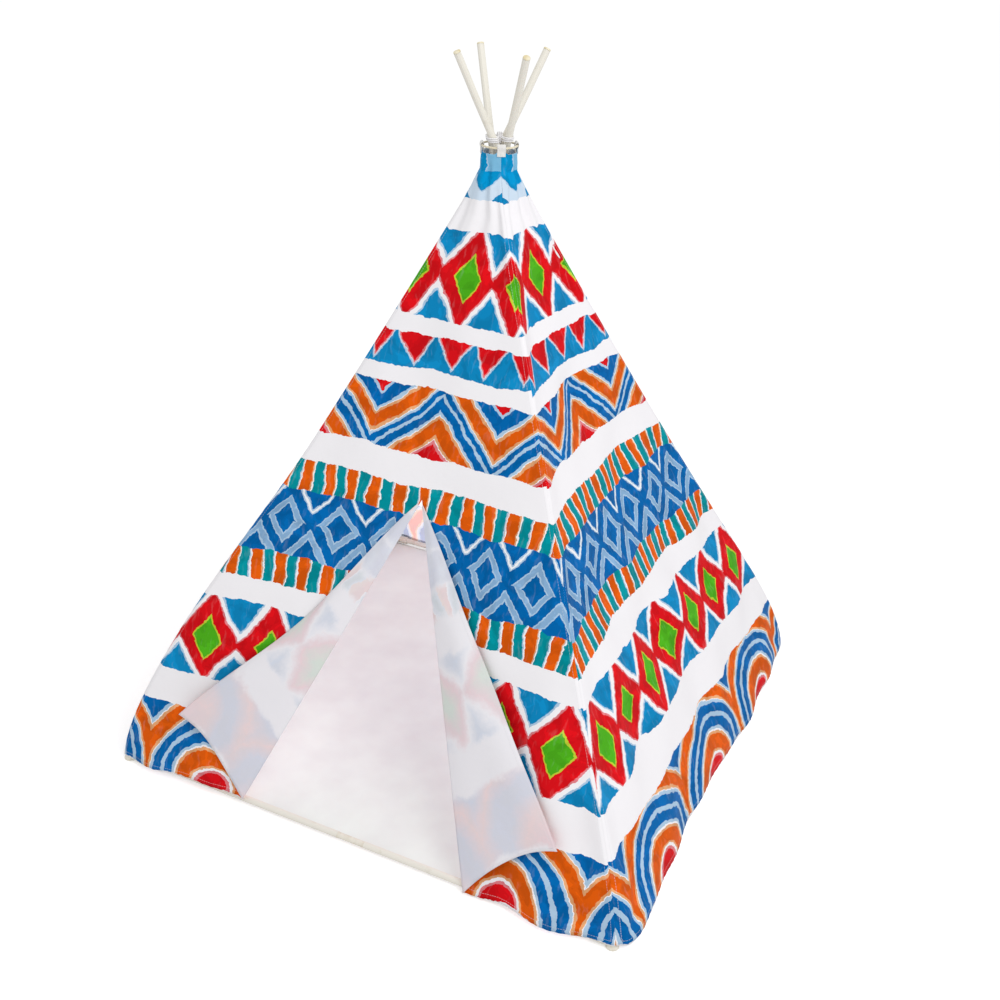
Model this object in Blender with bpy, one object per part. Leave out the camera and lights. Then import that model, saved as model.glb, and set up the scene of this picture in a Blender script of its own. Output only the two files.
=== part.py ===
"""Children's play teepee: four jointed poles, a jointed base frame and a fabric cover.

The model is in metres with +Z up. Its origin lies on the ground under the middle of the base.
The front, with the doorway, faces -Y. The poles cross just under a wire ring, which carries
the neck of the cover, and a cord lashes them together above it.
"""

import math

import bmesh
import bpy
import numpy as np
from mathutils import Matrix, Vector

# Overall sizes
base_width = 1.040
hem_height = 0.012
crossing_height = 1.144
ring_above_crossing = 0.016
pole_length = 1.530
bend_below_crossing = 0.087
bend_above_crossing = 0.069
upper_lean_share = 0.75
crossing_offset = 0.0104

# Tubes, their couplings and end caps
tube_diameter = 0.0127
tube_wall = 0.0010
slip_clearance = 0.0003
spigot_length = 0.030
pole_collar_length = 0.006
bar_collar_length = 0.056
bar_collar_diameter = 0.0118
cap_height = 0.0035
cap_stem_length = 0.014
cap_dome_shares = ((1.0, 0.55), (0.86, 0.88), (0.55, 1.0))
tube_sections = 3

# Corner connectors
socket_diameter = 0.0180
socket_reach = 0.040
tube_start = 0.0125
foot_height = 0.010
pad_diameter = 0.0236
pad_thickness = 0.0035
pad_neck_shares = ((0.70, 0.0), (0.70, 0.50), (0.0, 0.60))
socket_back_shares = ((0.0, -0.80), (0.75, -0.55))

# Fabric
cover_thickness = 0.0012
flap_thickness = 0.0010
floor_thickness = 0.0012
sleeve_wall = 0.0008
sleeve_start = 0.048
sleeve_below_bend = 0.077
seam_ease = 0.0026
seam_gap = 0.0003
seat_gap = 0.0003
corner_belly = 0.021
corner_belly_height = 0.170
panel_sag = 0.026
hem_wave = 0.014
hem_wave_height = 0.110
neck_height = 0.038
neck_blend_height = 0.080
neck_softness = 0.003

# Doorway and its flaps
door_half_width = 0.234
door_height = 0.578
door_blend_height = 0.200
fold_clearance = 0.0004
fold_margin = 0.0008
flap_rest_angle = math.radians(10.0)
flap_top_gap = 0.012
flap_centre_gap = 0.0010
flap_drop = 0.005
flap_billow = 0.010

# Ring, webbing tabs and lashing
ring_radius = 0.0310
ring_wire_diameter = 0.0036
tab_width = 0.010
tab_thickness = 0.0010
tab_leg = 0.020
cord_diameter = 0.0026
cord_turns = 3
cord_turn_gap = 0.0006
cord_tail_reach = 0.012
cord_tail_turn_share = 0.30
cord_tail_hold_share = 0.20
cord_tail_spread_power = 1.5

# Facet counts
tube_sides = 12
ring_steps = 32
wire_sides = 8
bend_rings = 7
panel_columns = 10
panel_rows = 12
blend_rows = 4
door_columns = 5
door_rows = 7
flap_columns = 6
flap_rows = 10
cord_steps_per_turn = 24
tab_fold_steps = 8
path_samples = 2000
foot_repeats = 40
wrap_directions = 91
tube_crease = math.radians(40.0)
fabric_crease = math.radians(60.0)

# Derived sizes
half_base = base_width / 2
ring_height = crossing_height + ring_above_crossing
bend_start_height = crossing_height - bend_below_crossing
bend_end_height = crossing_height + bend_above_crossing
tube_radius = tube_diameter / 2
bore_radius = tube_radius - tube_wall
spigot_radius = bore_radius - slip_clearance
socket_radius = socket_diameter / 2
ring_wire_radius = ring_wire_diameter / 2
cord_radius = cord_diameter / 2
cover_top = ring_height - ring_wire_radius - seat_gap
neck_radius = ring_radius + cover_thickness / 2
neck_foot = ring_height - neck_height
blend_foot = neck_foot - neck_blend_height
door_top = hem_height + door_height
merge_distance = slip_clearance / 10

CORNERS = {
    "front_right": (1, -1),
    "back_right": (1, 1),
    "back_left": (-1, 1),
    "front_left": (-1, -1),
}
SIDES = {
    "front": ("front_left", "front_right"),
    "right": ("front_right", "back_right"),
    "back": ("back_right", "back_left"),
    "left": ("back_left", "front_left"),
}
SIDE_NORMALS = {"front": (0, -1), "right": (1, 0), "back": (0, 1), "left": (-1, 0)}


def smooth(share):
    """Ease a share from 0 to 1, flat at both ends."""
    share = np.clip(share, 0.0, 1.0)
    return share * share * (3.0 - 2.0 * share)


# Pole lines

def bend_excess(height):
    """Height passed with the upper lean, counted from the start of the bend."""
    height = np.asarray(height, dtype=float)
    length = bend_end_height - bend_start_height
    inside = np.clip(height - bend_start_height, 0.0, length)
    return inside * inside / (2 * length) + np.maximum(height - bend_end_height, 0.0)


def rise_to(height):
    """Height above the foot, shortened where the pole leans less."""
    return np.asarray(height, dtype=float) - foot_height - (1 - upper_lean_share) * bend_excess(height)


def wrap_reach(lean):
    """How far the cover's side stands outside the pole's axis, measured level."""
    layers = tube_radius + slip_clearance + sleeve_wall + seat_gap + cover_thickness
    return layers * math.hypot(1.0, lean) + seam_ease


def solve_foot_reach():
    """Foot place and lean depend on each other, so the pair is settled by repetition."""
    reach = half_base
    for _ in range(foot_repeats):
        lean = reach / float(rise_to(crossing_height))
        reach = half_base - wrap_reach(lean)
    return reach, reach / float(rise_to(crossing_height))


foot_reach, lean_per_axis = solve_foot_reach()


def pole_point(corner, height):
    """Points of a pole's axis at the given heights, as an array of rows."""
    sx, sy = CORNERS[corner]
    height = np.asarray(height, dtype=float)
    level = foot_reach - lean_per_axis * rise_to(height)
    twist = crossing_offset * (height - foot_height) / (crossing_height - foot_height) / math.sqrt(2)
    return np.stack([sx * level + sy * twist, sy * level - sx * twist, height], axis=-1)


class PolePath:
    """A pole's axis, read by the distance along it from its foot."""

    def __init__(self, corner):
        self.heights = np.linspace(foot_height, foot_height + pole_length, path_samples)
        self.points = pole_point(corner, self.heights)
        steps = np.linalg.norm(np.diff(self.points, axis=0), axis=1)
        self.lengths = np.concatenate([[0.0], np.cumsum(steps)])

    def length_at(self, height):
        """Distance along the axis to a height."""
        return float(np.interp(height, self.heights, self.lengths))

    def at(self, length):
        """Point on the axis."""
        return Vector([float(np.interp(length, self.lengths, self.points[:, k])) for k in range(3)])

    def direction(self, length):
        """Unit direction of the axis."""
        step = pole_length / path_samples
        return (self.at(length + step) - self.at(length - step if length > step else 0.0)).normalized()

    def frame(self, length):
        """Placement with local Z along the axis."""
        return line_frame(self.at(length), self.direction(length))


def line_frame(origin, direction):
    """Placement at a point with local Z along a direction and local X level."""
    z_axis = Vector(direction).normalized()
    x_axis = Vector((0, 0, 1)).cross(z_axis).normalized()
    y_axis = z_axis.cross(x_axis)
    matrix = Matrix((x_axis, y_axis, z_axis)).transposed().to_4x4()
    matrix.translation = Vector(origin)
    return matrix


# Scene helpers

def material(name, colour, roughness, metallic=0.0):
    """Principled material from plain values."""
    made = bpy.data.materials.new(name)
    made.use_nodes = True
    shader = made.node_tree.nodes["Principled BSDF"]
    shader.inputs["Base Color"].default_value = (*colour, 1.0)
    shader.inputs["Roughness"].default_value = roughness
    shader.inputs["Metallic"].default_value = metallic
    made.diffuse_color = (*colour, 1.0)
    return made


def place(name, shape, finish, frame=None, parent=None, crease=tube_crease):
    """Make an object of a bmesh, smooth except at its sharp edges."""
    bmesh.ops.recalc_face_normals(shape, faces=shape.faces)
    mesh = bpy.data.meshes.new(name)
    shape.to_mesh(mesh)
    shape.free()
    mesh.materials.append(finish)
    mesh.shade_smooth()
    mesh.set_sharp_from_angle(angle=crease)
    made = bpy.data.objects.new(name, mesh)
    bpy.context.collection.objects.link(made)
    if parent is not None:
        made.parent = parent
    if frame is not None:
        made.matrix_local = frame
    return made


def turned(profile, closed, sides=tube_sides):
    """Spin a profile of (radius, height) points about Z into a solid."""
    shape = bmesh.new()
    points = [shape.verts.new((radius, 0.0, height)) for radius, height in profile]
    pairs = list(zip(points, points[1:]))
    if closed:
        pairs.append((points[-1], points[0]))
    edges = [shape.edges.new(pair) for pair in pairs]
    bmesh.ops.spin(
        shape, geom=points + edges, cent=(0, 0, 0), axis=(0, 0, 1),
        angle=math.tau, steps=sides, use_merge=True,
    )
    bmesh.ops.remove_doubles(shape, verts=shape.verts, dist=merge_distance)
    return shape


def tube_profile(outer, bore, length):
    """Closed profile of a plain tube."""
    return [(outer, 0.0), (outer, length), (bore, length), (bore, 0.0)]


def ring_points(frame, radius, sides=tube_sides):
    """Corners of a regular polygon about a frame's Z axis."""
    angles = np.arange(sides) * math.tau / sides
    return [frame @ Vector((radius * math.cos(a), radius * math.sin(a), 0.0)) for a in angles]


def bent_tube(frames, outer, bore):
    """Tube through a row of frames: outer skin, bore and both end faces."""
    shape = bmesh.new()
    rows = [ring_points(frame, outer) for frame in frames]
    rows += [ring_points(frame, bore) for frame in reversed(frames)]
    loops = [[shape.verts.new(point) for point in row] for row in rows]
    for this, following in zip(loops, loops[1:] + loops[:1]):
        for k in range(tube_sides):
            after = (k + 1) % tube_sides
            shape.faces.new((this[k], this[after], following[after], following[k]))
    return shape


def sheet(outer, inner, quads):
    """Closed thin solid between two point rows that share one list of faces.

    Both skins are split along the same diagonals, so that they stay apart where a quad is twisted.
    """
    shape = bmesh.new()
    outside = [shape.verts.new(point) for point in outer]
    inside = [shape.verts.new(point) for point in inner]
    open_edges = {}
    for quad in quads:
        a, b, c, d = quad
        for triangle in ((a, b, c), (a, c, d)):
            shape.faces.new([outside[k] for k in triangle])
            shape.faces.new([inside[k] for k in reversed(triangle)])
        for edge in zip(quad, quad[1:] + quad[:1]):
            if edge[::-1] in open_edges:
                del open_edges[edge[::-1]]
            else:
                open_edges[edge] = True
    for start, end in open_edges:
        shape.faces.new((outside[end], outside[start], inside[start], inside[end]))
    return shape


def extruded(points, step):
    """Solid swept from a flat outline by one straight step."""
    shape = bmesh.new()
    face = shape.faces.new([shape.verts.new(point) for point in points])
    grown = bmesh.ops.extrude_face_region(shape, geom=[face])
    raised = [item for item in grown["geom"] if isinstance(item, bmesh.types.BMVert)]
    bmesh.ops.translate(shape, verts=raised, vec=step)
    return shape


def grid_quads(rows, columns, start=0):
    """Faces of a grid whose points run along its rows."""
    return [
        (start + r * columns + c, start + r * columns + c + 1,
         start + (r + 1) * columns + c + 1, start + (r + 1) * columns + c)
        for r in range(rows - 1) for c in range(columns - 1)
    ]


# Poles and base bars

def build_poles(tube_finish, plastic, cap_finish):
    """Three tubes to a pole, joined by couplings, with a cap on top."""
    sections = ("lower", "middle", "upper")
    section_length = (pole_length - tube_start) / tube_sections
    half_collar = pole_collar_length / 2
    for corner in CORNERS:
        path = PolePath(corner)
        joints = [tube_start + section_length * k for k in range(tube_sections + 1)]
        for index, section in enumerate(sections):
            start = joints[index] + (half_collar + seat_gap if index else 0.0)
            last = index == tube_sections - 1
            end = joints[index + 1] - (0.0 if last else half_collar + seat_gap)
            name = f"pole_{section}_{corner}"
            if last:
                frames = [path.frame(s) for s in np.linspace(start, end, bend_rings)]
                place(name, bent_tube(frames, tube_radius, bore_radius), tube_finish)
            else:
                tube = turned(tube_profile(tube_radius, bore_radius, end - start), True)
                place(name, tube, tube_finish, path.frame(start))
        for index, level in enumerate(("lower", "upper")):
            coupling = coupling_shape(tube_radius, pole_collar_length)
            place(f"pole_coupling_{level}_{corner}", coupling, plastic, path.frame(joints[index + 1]))
        tip_frame = line_frame(path.at(joints[-1]), path.direction(joints[-1] - cap_stem_length))
        place(f"pole_cap_{corner}", cap_shape(), cap_finish, tip_frame)


def coupling_shape(collar_radius, collar_length):
    """Spigot for two tubes, with a collar between them that they butt against."""
    half = collar_length / 2
    nose = tube_wall
    profile = [
        (0.0, -half - spigot_length),
        (spigot_radius - nose, -half - spigot_length),
        (spigot_radius, -half - spigot_length + nose),
        (spigot_radius, -half),
        (collar_radius, -half),
        (collar_radius, half),
        (spigot_radius, half),
        (spigot_radius, half + spigot_length - nose),
        (spigot_radius - nose, half + spigot_length),
        (0.0, half + spigot_length),
    ]
    return turned(profile, False)


def cap_shape():
    """Domed cap on a tube's end, with its stem in the bore."""
    edge = tube_wall
    profile = [
        (0.0, -cap_stem_length),
        (spigot_radius - edge, -cap_stem_length),
        (spigot_radius, -cap_stem_length + edge),
        (spigot_radius, seat_gap),
        (tube_radius, seat_gap),
    ]
    profile += [(tube_radius * out, cap_height * up) for out, up in cap_dome_shares]
    profile.append((0.0, cap_height))
    return turned(profile, False)


def build_bars(tube_finish, plastic):
    """Each side of the base has two half bars on a long middle coupling."""
    half_collar = bar_collar_length / 2
    for side, (first, second) in SIDES.items():
        start = connector_centre(first)
        end = connector_centre(second)
        along = (end - start).normalized()
        middle = (start + end) / 2
        length = (middle - start).length - tube_start - half_collar - seat_gap
        for half, origin, direction in (("a", start, along), ("b", end, -along)):
            frame = line_frame(origin + direction * tube_start, direction)
            tube = turned(tube_profile(tube_radius, bore_radius, length), True)
            place(f"base_bar_{side}_{half}", tube, tube_finish, frame)
        collar = coupling_shape(bar_collar_diameter / 2, bar_collar_length)
        place(f"base_bar_coupling_{side}", collar, plastic, line_frame(middle, along))


def connector_centre(corner):
    """Where the axes of two base bars and a pole meet."""
    sx, sy = CORNERS[corner]
    return Vector((sx * foot_reach, sy * foot_reach, foot_height))


def operand(name, shape, frame, parent):
    """A shape that only serves another object's Boolean."""
    made = place(name, shape, parent.data.materials[0], frame)
    made.hide_render = True
    made.display_type = "WIRE"
    return made


def combine(target, other, operation):
    """Add one Boolean to an object."""
    step = target.modifiers.new(other.name, "BOOLEAN")
    step.operation = operation
    step.object = other
    step.solver = "EXACT"


def pad_shape():
    """Round foot pad, drawn in to a neck that runs up into the sockets."""
    pad_radius = pad_diameter / 2
    edge = tube_wall
    profile = [
        (0.0, -foot_height),
        (pad_radius - edge, -foot_height),
        (pad_radius, -foot_height + edge),
        (pad_radius, -foot_height + pad_thickness),
    ]
    profile += [(socket_radius * out, socket_radius * up) for out, up in pad_neck_shares]
    return turned(profile, False)


def socket_shape():
    """Outside of one socket, rounded behind the connector's middle."""
    edge = tube_wall
    profile = [(socket_radius * out, socket_radius * up) for out, up in socket_back_shares]
    profile += [
        (socket_radius, 0.0),
        (socket_radius, socket_reach - edge),
        (socket_radius - edge, socket_reach),
        (0.0, socket_reach),
    ]
    return turned(profile, False)


def socket_bore_shape():
    """Room for a tube's end, run out past the socket's mouth."""
    bore = tube_radius + slip_clearance
    floor = tube_start - seat_gap
    mouth = socket_reach + spigot_length
    return turned([(0.0, floor), (bore, floor), (bore, mouth), (0.0, mouth)], False)


def build_connectors(plastic):
    """Three-way corner pieces: two bar sockets, a leaning pole socket and a flat foot."""
    for corner, (sx, sy) in CORNERS.items():
        centre = connector_centre(corner)
        body = place(f"corner_connector_{corner}", pad_shape(), plastic, Matrix.Translation(centre))
        pole_direction = PolePath(corner).direction(tube_start)
        directions = (Vector((-sx, 0, 0)), Vector((0, -sy, 0)), pole_direction)
        frames = [line_frame(centre, direction) for direction in directions]
        for index, frame in enumerate(frames):
            combine(body, operand(f"{corner}_socket_{index}", socket_shape(), frame, body), "UNION")
        for index, frame in enumerate(frames):
            combine(body, operand(f"{corner}_bore_{index}", socket_bore_shape(), frame, body), "DIFFERENCE")


# Cover

def side_reach(height):
    """Half width of the cover at a height, without the belly at its corners."""
    level = foot_reach - lean_per_axis * rise_to(height) + half_base - foot_reach
    neck = neck_radius / math.sqrt(2)
    gap = (level - neck) / 2
    return neck + gap + np.hypot(gap, neck_softness * (1.0 - roundness(height)))


def roundness(height):
    """How far the section has turned from a square to a circle: 1 along the neck."""
    return smooth((np.asarray(height, dtype=float) - blend_foot) / neck_blend_height)


def corner_point(corner, height, depth):
    """Corner of the cover's section at a height, moved in by a depth of fabric."""
    sx, sy = CORNERS[corner]
    height = np.asarray(height, dtype=float)
    steps = np.maximum(height - hem_height, 0.0) / corner_belly_height
    belly = corner_belly * steps * np.exp(1.0 - steps)
    around = roundness(height)
    level = side_reach(height) + belly * (1.0 - around)
    level = level - depth * (1.0 + around * (1.0 / math.sqrt(2) - 1.0))
    twist = crossing_offset * (height - foot_height) / (crossing_height - foot_height) / math.sqrt(2)
    twist = twist * (1.0 - around)
    return np.stack([sx * level + sy * twist, sy * level - sx * twist], axis=-1)


def door_edge(height):
    """Half width of the doorway at a height."""
    share = (np.asarray(height, dtype=float) - hem_height) / door_height
    return door_half_width * np.clip(1.0 - share, 0.0, 1.0)


def panel_point(side, across, height, depth):
    """Point of a cover panel: across runs from -1 to 1 between its seams."""
    first, second = SIDES[side]
    start = corner_point(first, height, depth)
    end = corner_point(second, height, depth)
    length = np.linalg.norm(end - start, axis=-1)
    trim = (across * (1.0 - seam_gap * math.sqrt(2) / length) + 1.0) / 2
    chord = start + (end - start) * trim[:, None]
    radius = np.linalg.norm(start, axis=-1)
    angle = np.arctan2(start[:, 1], start[:, 0]) + trim * math.pi / 2
    arc = np.stack([radius * np.cos(angle), radius * np.sin(angle)], axis=-1)
    around = roundness(height)[:, None]
    level = chord * (1.0 - around) + arc * around
    normal = np.array(SIDE_NORMALS[side], dtype=float)
    hang = (height - hem_height) / (cover_top - hem_height)
    fall = np.exp(-(height - hem_height) / hem_wave_height)
    if side == "front":
        half = side_reach(height)
        edge = door_edge(height)
        shift = (start[:, 0] + end[:, 0]) / 2
        centred = level[:, 0] - shift
        beyond = np.clip((np.abs(centred) - edge) / (half - edge), 0.0, 1.0)
        level[:, 0] = centred + shift * smooth(beyond)
        zone = 1.0 - smooth((height - door_top) / door_blend_height)
        free = 1.0 - (1.0 - smooth(beyond)) * zone
        plane = -(side_reach(height) - depth)
        level[:, 1] = plane + (level[:, 1] - plane) * free
        wave = np.sin(math.pi * beyond) ** 2
    else:
        wave = np.sin(math.pi * across) ** 2
        sag = panel_sag * (1.0 - across ** 2) * np.sin(math.pi * hang)
        level = level - normal * sag[:, None]
    level = level + normal * (hem_wave * wave * fall)[:, None]
    return np.column_stack([level, height])


def row_heights(bottom, rows):
    """Heights of a panel's rows: even up to the neck, closer where the section turns round."""
    skirt = np.linspace(bottom, blend_foot, rows + 1)
    blend = np.linspace(blend_foot, neck_foot, blend_rows + 1)[1:]
    return np.concatenate([skirt, blend, [(neck_foot + cover_top) / 2, cover_top]])


def build_panels(fabric):
    """Three whole panels and a front one with the doorway cut up from its hem."""
    heights = row_heights(hem_height, panel_rows)
    across = np.linspace(-1.0, 1.0, panel_columns + 1)
    for side in ("right", "back", "left"):
        u, z = (values.ravel() for values in np.meshgrid(across, heights))
        skins = [panel_point(side, u, z, depth) for depth in (0.0, cover_thickness)]
        quads = grid_quads(len(heights), len(across))
        place(f"cover_panel_{side}", sheet(*skins, quads), fabric, crease=fabric_crease)
    place("cover_panel_front", front_panel_shape(), fabric, crease=fabric_crease)


def front_panel_shape():
    """Grid in two halves: they part at the doorway and share the middle line above it."""
    below = np.linspace(hem_height, door_top, door_rows + 1)
    heights = np.concatenate([below, row_heights(door_top, panel_rows - door_rows)[1:]])
    columns = door_columns + 1
    shares = np.linspace(0.0, 1.0, columns)
    left_u, left_z, right_u = [], [], []
    for height in heights:
        seams = panel_point("front", np.array([-1.0, 1.0]), np.array([height, height]), 0.0)
        edge = 2 * float(door_edge(height)) / float(seams[1, 0] - seams[0, 0])
        row = 1.0 - (1.0 - edge) * shares
        left_u.extend(-row)
        right_u.extend(row[::-1])
        left_z.extend([height] * columns)
    u = np.array(left_u + right_u)
    z = np.array(left_z + left_z)
    skins = [panel_point("front", u, z, depth) for depth in (0.0, cover_thickness)]
    count = len(heights) * columns
    quads = grid_quads(len(heights), columns) + grid_quads(len(heights), columns, count)
    shared = {
        count + row * columns: row * columns + columns - 1
        for row in range(door_rows, len(heights))
    }
    quads = [tuple(shared.get(k, k) for k in quad) for quad in quads]
    used = sorted({k for quad in quads for k in quad})
    place_of = {old: new for new, old in enumerate(used)}
    quads = [tuple(place_of[k] for k in quad) for quad in quads]
    return sheet(skins[0][used], skins[1][used], quads)


def build_flaps(fabric):
    """Door flaps, each turned back about its fold line, with its origin on that line."""
    plane_bottom = -float(side_reach(hem_height))
    plane_top = -float(side_reach(door_top))
    slope = Vector((0.0, plane_top - plane_bottom, door_height)).normalized()
    outward = Vector((1, 0, 0)).cross(slope)
    axis_offset = flap_thickness / 2 + fold_clearance
    for name, turn in (("left", -1), ("right", 1)):
        bottom = Vector((turn * door_half_width, plane_bottom, hem_height)) + outward * axis_offset
        top = Vector((0.0, plane_top, door_top)) + outward * axis_offset
        fold = (top - bottom).normalized()
        inward = (fold.cross(outward) * -turn).normalized()
        centre = Vector((0.0, plane_bottom, hem_height)) + outward * axis_offset - slope * flap_drop
        hinge = bpy.data.objects.new(f"door_hinge_{name}", None)
        bpy.context.collection.objects.link(hinge)
        basis = Matrix((inward, fold.cross(inward), fold)).transposed()
        hinge.matrix_world = Matrix.Translation(bottom) @ basis.to_4x4()
        local_centre = hinge.matrix_world.inverted() @ centre
        local_top = hinge.matrix_world.inverted() @ top
        shape = flap_shape(local_centre, local_top, turn)
        turned_back = Matrix.Rotation(turn * (math.pi - flap_rest_angle), 4, "Z")
        place(f"door_flap_{name}", shape, fabric, turned_back, hinge, crease=fabric_crease)


def flap_shape(centre, top, turn):
    """Half of the doorway's triangle in its shut place, with a soft billow."""
    length = top.z
    rows = np.linspace(0.0, 1.0, flap_rows + 1)
    columns = np.linspace(0.0, 1.0, flap_columns + 1)
    t, s = (values.ravel() for values in np.meshgrid(rows, columns, indexing="ij"))
    height_top = length - flap_top_gap
    fold_x = np.full_like(t, fold_margin)
    fold_z = t * height_top
    share = t * height_top / length
    free_x = centre.x * (1 - share) - flap_centre_gap
    free_z = centre.z * (1 - share) + length * share
    x = fold_x + (free_x - fold_x) * s
    z = fold_z + (free_z - fold_z) * s
    billow = flap_billow * 4 * s * (1 - s) * np.sin(math.pi * t)
    skins = [np.column_stack([x, -turn * billow + side * flap_thickness / 2, z]) for side in (-1, 1)]
    return sheet(*skins, grid_quads(flap_rows + 1, flap_columns + 1))


def build_floor(fabric):
    """Floor sheet between the base bars, its corners cut off at the connectors' feet."""
    half = foot_reach - tube_radius - seat_gap
    cut = 2 * foot_reach - (pad_diameter / 2 + seat_gap) * math.sqrt(2) - half
    outline = []
    for sx, sy in CORNERS.values():
        pair = [(sx * half, sy * cut), (sx * cut, sy * half)]
        outline += pair if sx * sy > 0 else pair[::-1]
    points = [(x, y, 0.0) for x, y in outline]
    place("floor_sheet", extruded(points, (0.0, 0.0, floor_thickness)), fabric)


def build_sleeves(fabric):
    """Fabric tunnels sewn along the corner seams, with a pole through each."""
    bore = tube_radius + slip_clearance
    for corner in CORNERS:
        path = PolePath(corner)
        length = path.length_at(bend_start_height - sleeve_below_bend) - sleeve_start
        tunnel = turned(tube_profile(bore + sleeve_wall, bore, length), True)
        place(f"pole_sleeve_{corner}", tunnel, fabric, path.frame(sleeve_start))


# Neck: ring, tabs and lashing

def build_ring(metal):
    """Wire ring that holds the cover's neck open."""
    shape = bmesh.new()
    bmesh.ops.create_circle(
        shape, segments=wire_sides, radius=ring_wire_radius,
        matrix=Matrix.Translation((ring_radius, 0, 0)) @ Matrix.Rotation(math.pi / 2, 4, "X"),
    )
    bmesh.ops.spin(
        shape, geom=list(shape.verts) + list(shape.edges), cent=(0, 0, 0), axis=(0, 0, 1),
        angle=math.tau, steps=ring_steps, use_merge=True,
    )
    bmesh.ops.remove_doubles(shape, verts=shape.verts, dist=merge_distance)
    place("top_ring", shape, metal, Matrix.Translation((0, 0, ring_height)))


def build_tabs(webbing):
    """Webbing tabs, folded over the ring at the seams and lying on both sides of the neck."""
    bow = tab_width ** 2 / (8 * ring_radius)
    clear = ring_wire_radius + seat_gap + bow / 2
    outer = clear + tab_thickness
    over = np.linspace(0.0, math.pi, tab_fold_steps + 1)
    leg_z = -clear - tab_thickness
    outside_x = cover_thickness / 2 + seat_gap
    facet_depth = ring_radius * (1 - math.cos(math.pi / (4 * panel_columns)))
    inside_x = -cover_thickness / 2 - seat_gap - facet_depth - bow
    bottom = -tab_leg
    profile = [(outside_x + tab_thickness, bottom), (outside_x + tab_thickness, leg_z * 2)]
    profile += [(outer * math.cos(a) - bow / 2, outer * math.sin(a)) for a in over]
    profile += [(inside_x - tab_thickness, leg_z * 2), (inside_x - tab_thickness, bottom)]
    profile += [(inside_x, bottom), (inside_x, leg_z * 2 + tab_thickness / 2)]
    profile += [(clear * math.cos(a) - bow / 2, clear * math.sin(a)) for a in over[::-1]]
    profile += [(outside_x, leg_z * 2 + tab_thickness / 2), (outside_x, bottom)]
    for corner in CORNERS:
        x, y = corner_point(corner, cover_top, 0.0)
        shape = extruded([(px, -tab_width / 2, pz) for px, pz in profile], (0.0, tab_width, 0.0))
        turn = Matrix.Rotation(math.atan2(y, x), 4, "Z")
        frame = Matrix.Translation((0, 0, ring_height)) @ turn @ Matrix.Translation((ring_radius, 0, 0))
        place(f"ring_tab_{corner}", shape, webbing, frame)


def bundle_reach(angle, height):
    """Distance from the middle to a cord that is drawn tight round all four poles."""
    centres = np.array([pole_point(corner, height)[:2] for corner in CORNERS])
    lean = math.hypot(1.0, lean_per_axis * math.sqrt(2))
    padding = tube_radius * lean + cord_radius + seat_gap
    directions = np.linspace(angle - math.pi / 2, angle + math.pi / 2, wrap_directions)[1:-1]
    normals = np.column_stack([np.cos(directions), np.sin(directions)])
    support = (normals @ centres.T).max(axis=1) + padding
    return float((support / np.cos(directions - angle)).min())


def cord_route():
    """Lashing: a tail over the ring, three turns up the poles and a tail back down."""
    rest = ring_height + ring_wire_radius + seat_gap + cord_radius
    pitch = cord_diameter + cord_turn_gap
    turns = cord_turns + 0.5
    tail = cord_tail_turn_share
    steps = int(cord_steps_per_turn * (turns + 2 * tail))
    reach_out = ring_radius + cord_tail_reach
    points = []
    for turn in np.linspace(-tail, turns + tail, steps + 1):
        angle = math.tau * turn - math.pi / 2
        height = rest + cord_turn_gap + pitch * min(max(turn, 0.0), turns)
        away = max(-turn, turn - turns, 0.0) / tail
        radius = bundle_reach(angle, height)
        radius += (reach_out - radius) * away ** cord_tail_spread_power
        if turn > turns:
            fall = (away - cord_tail_hold_share) / (1 - cord_tail_hold_share)
            height += (rest - height) * float(smooth(fall))
        elif turn < 0:
            height = rest + cord_turn_gap * (1 - away)
        points.append((radius * math.cos(angle), radius * math.sin(angle), height))
    return np.array(points)


def least_gap_to_itself(points):
    """Smallest clear distance between stretches of the cord that aren't neighbours."""
    apart = cord_steps_per_turn // 3
    least = math.inf
    for index in range(len(points) - apart):
        away = np.linalg.norm(points[index + apart:] - points[index], axis=1)
        least = min(least, float(away.min()))
    return least - cord_diameter


def build_lashing(cord_finish):
    """The cord as one curve with a round section."""
    points = cord_route()
    curve = bpy.data.curves.new("lashing_cord", "CURVE")
    curve.dimensions = "3D"
    curve.bevel_depth = cord_radius
    curve.bevel_resolution = 1
    curve.use_fill_caps = True
    spline = curve.splines.new("POLY")
    spline.points.add(len(points) - 1)
    for slot, point in zip(spline.points, points):
        slot.co = (*point, 1.0)
    curve.materials.append(cord_finish)
    made = bpy.data.objects.new("lashing_cord", curve)
    bpy.context.collection.objects.link(made)
    print(f"least gap of the lashing to itself: {least_gap_to_itself(points) * 1000:.2f} mm")


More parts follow.
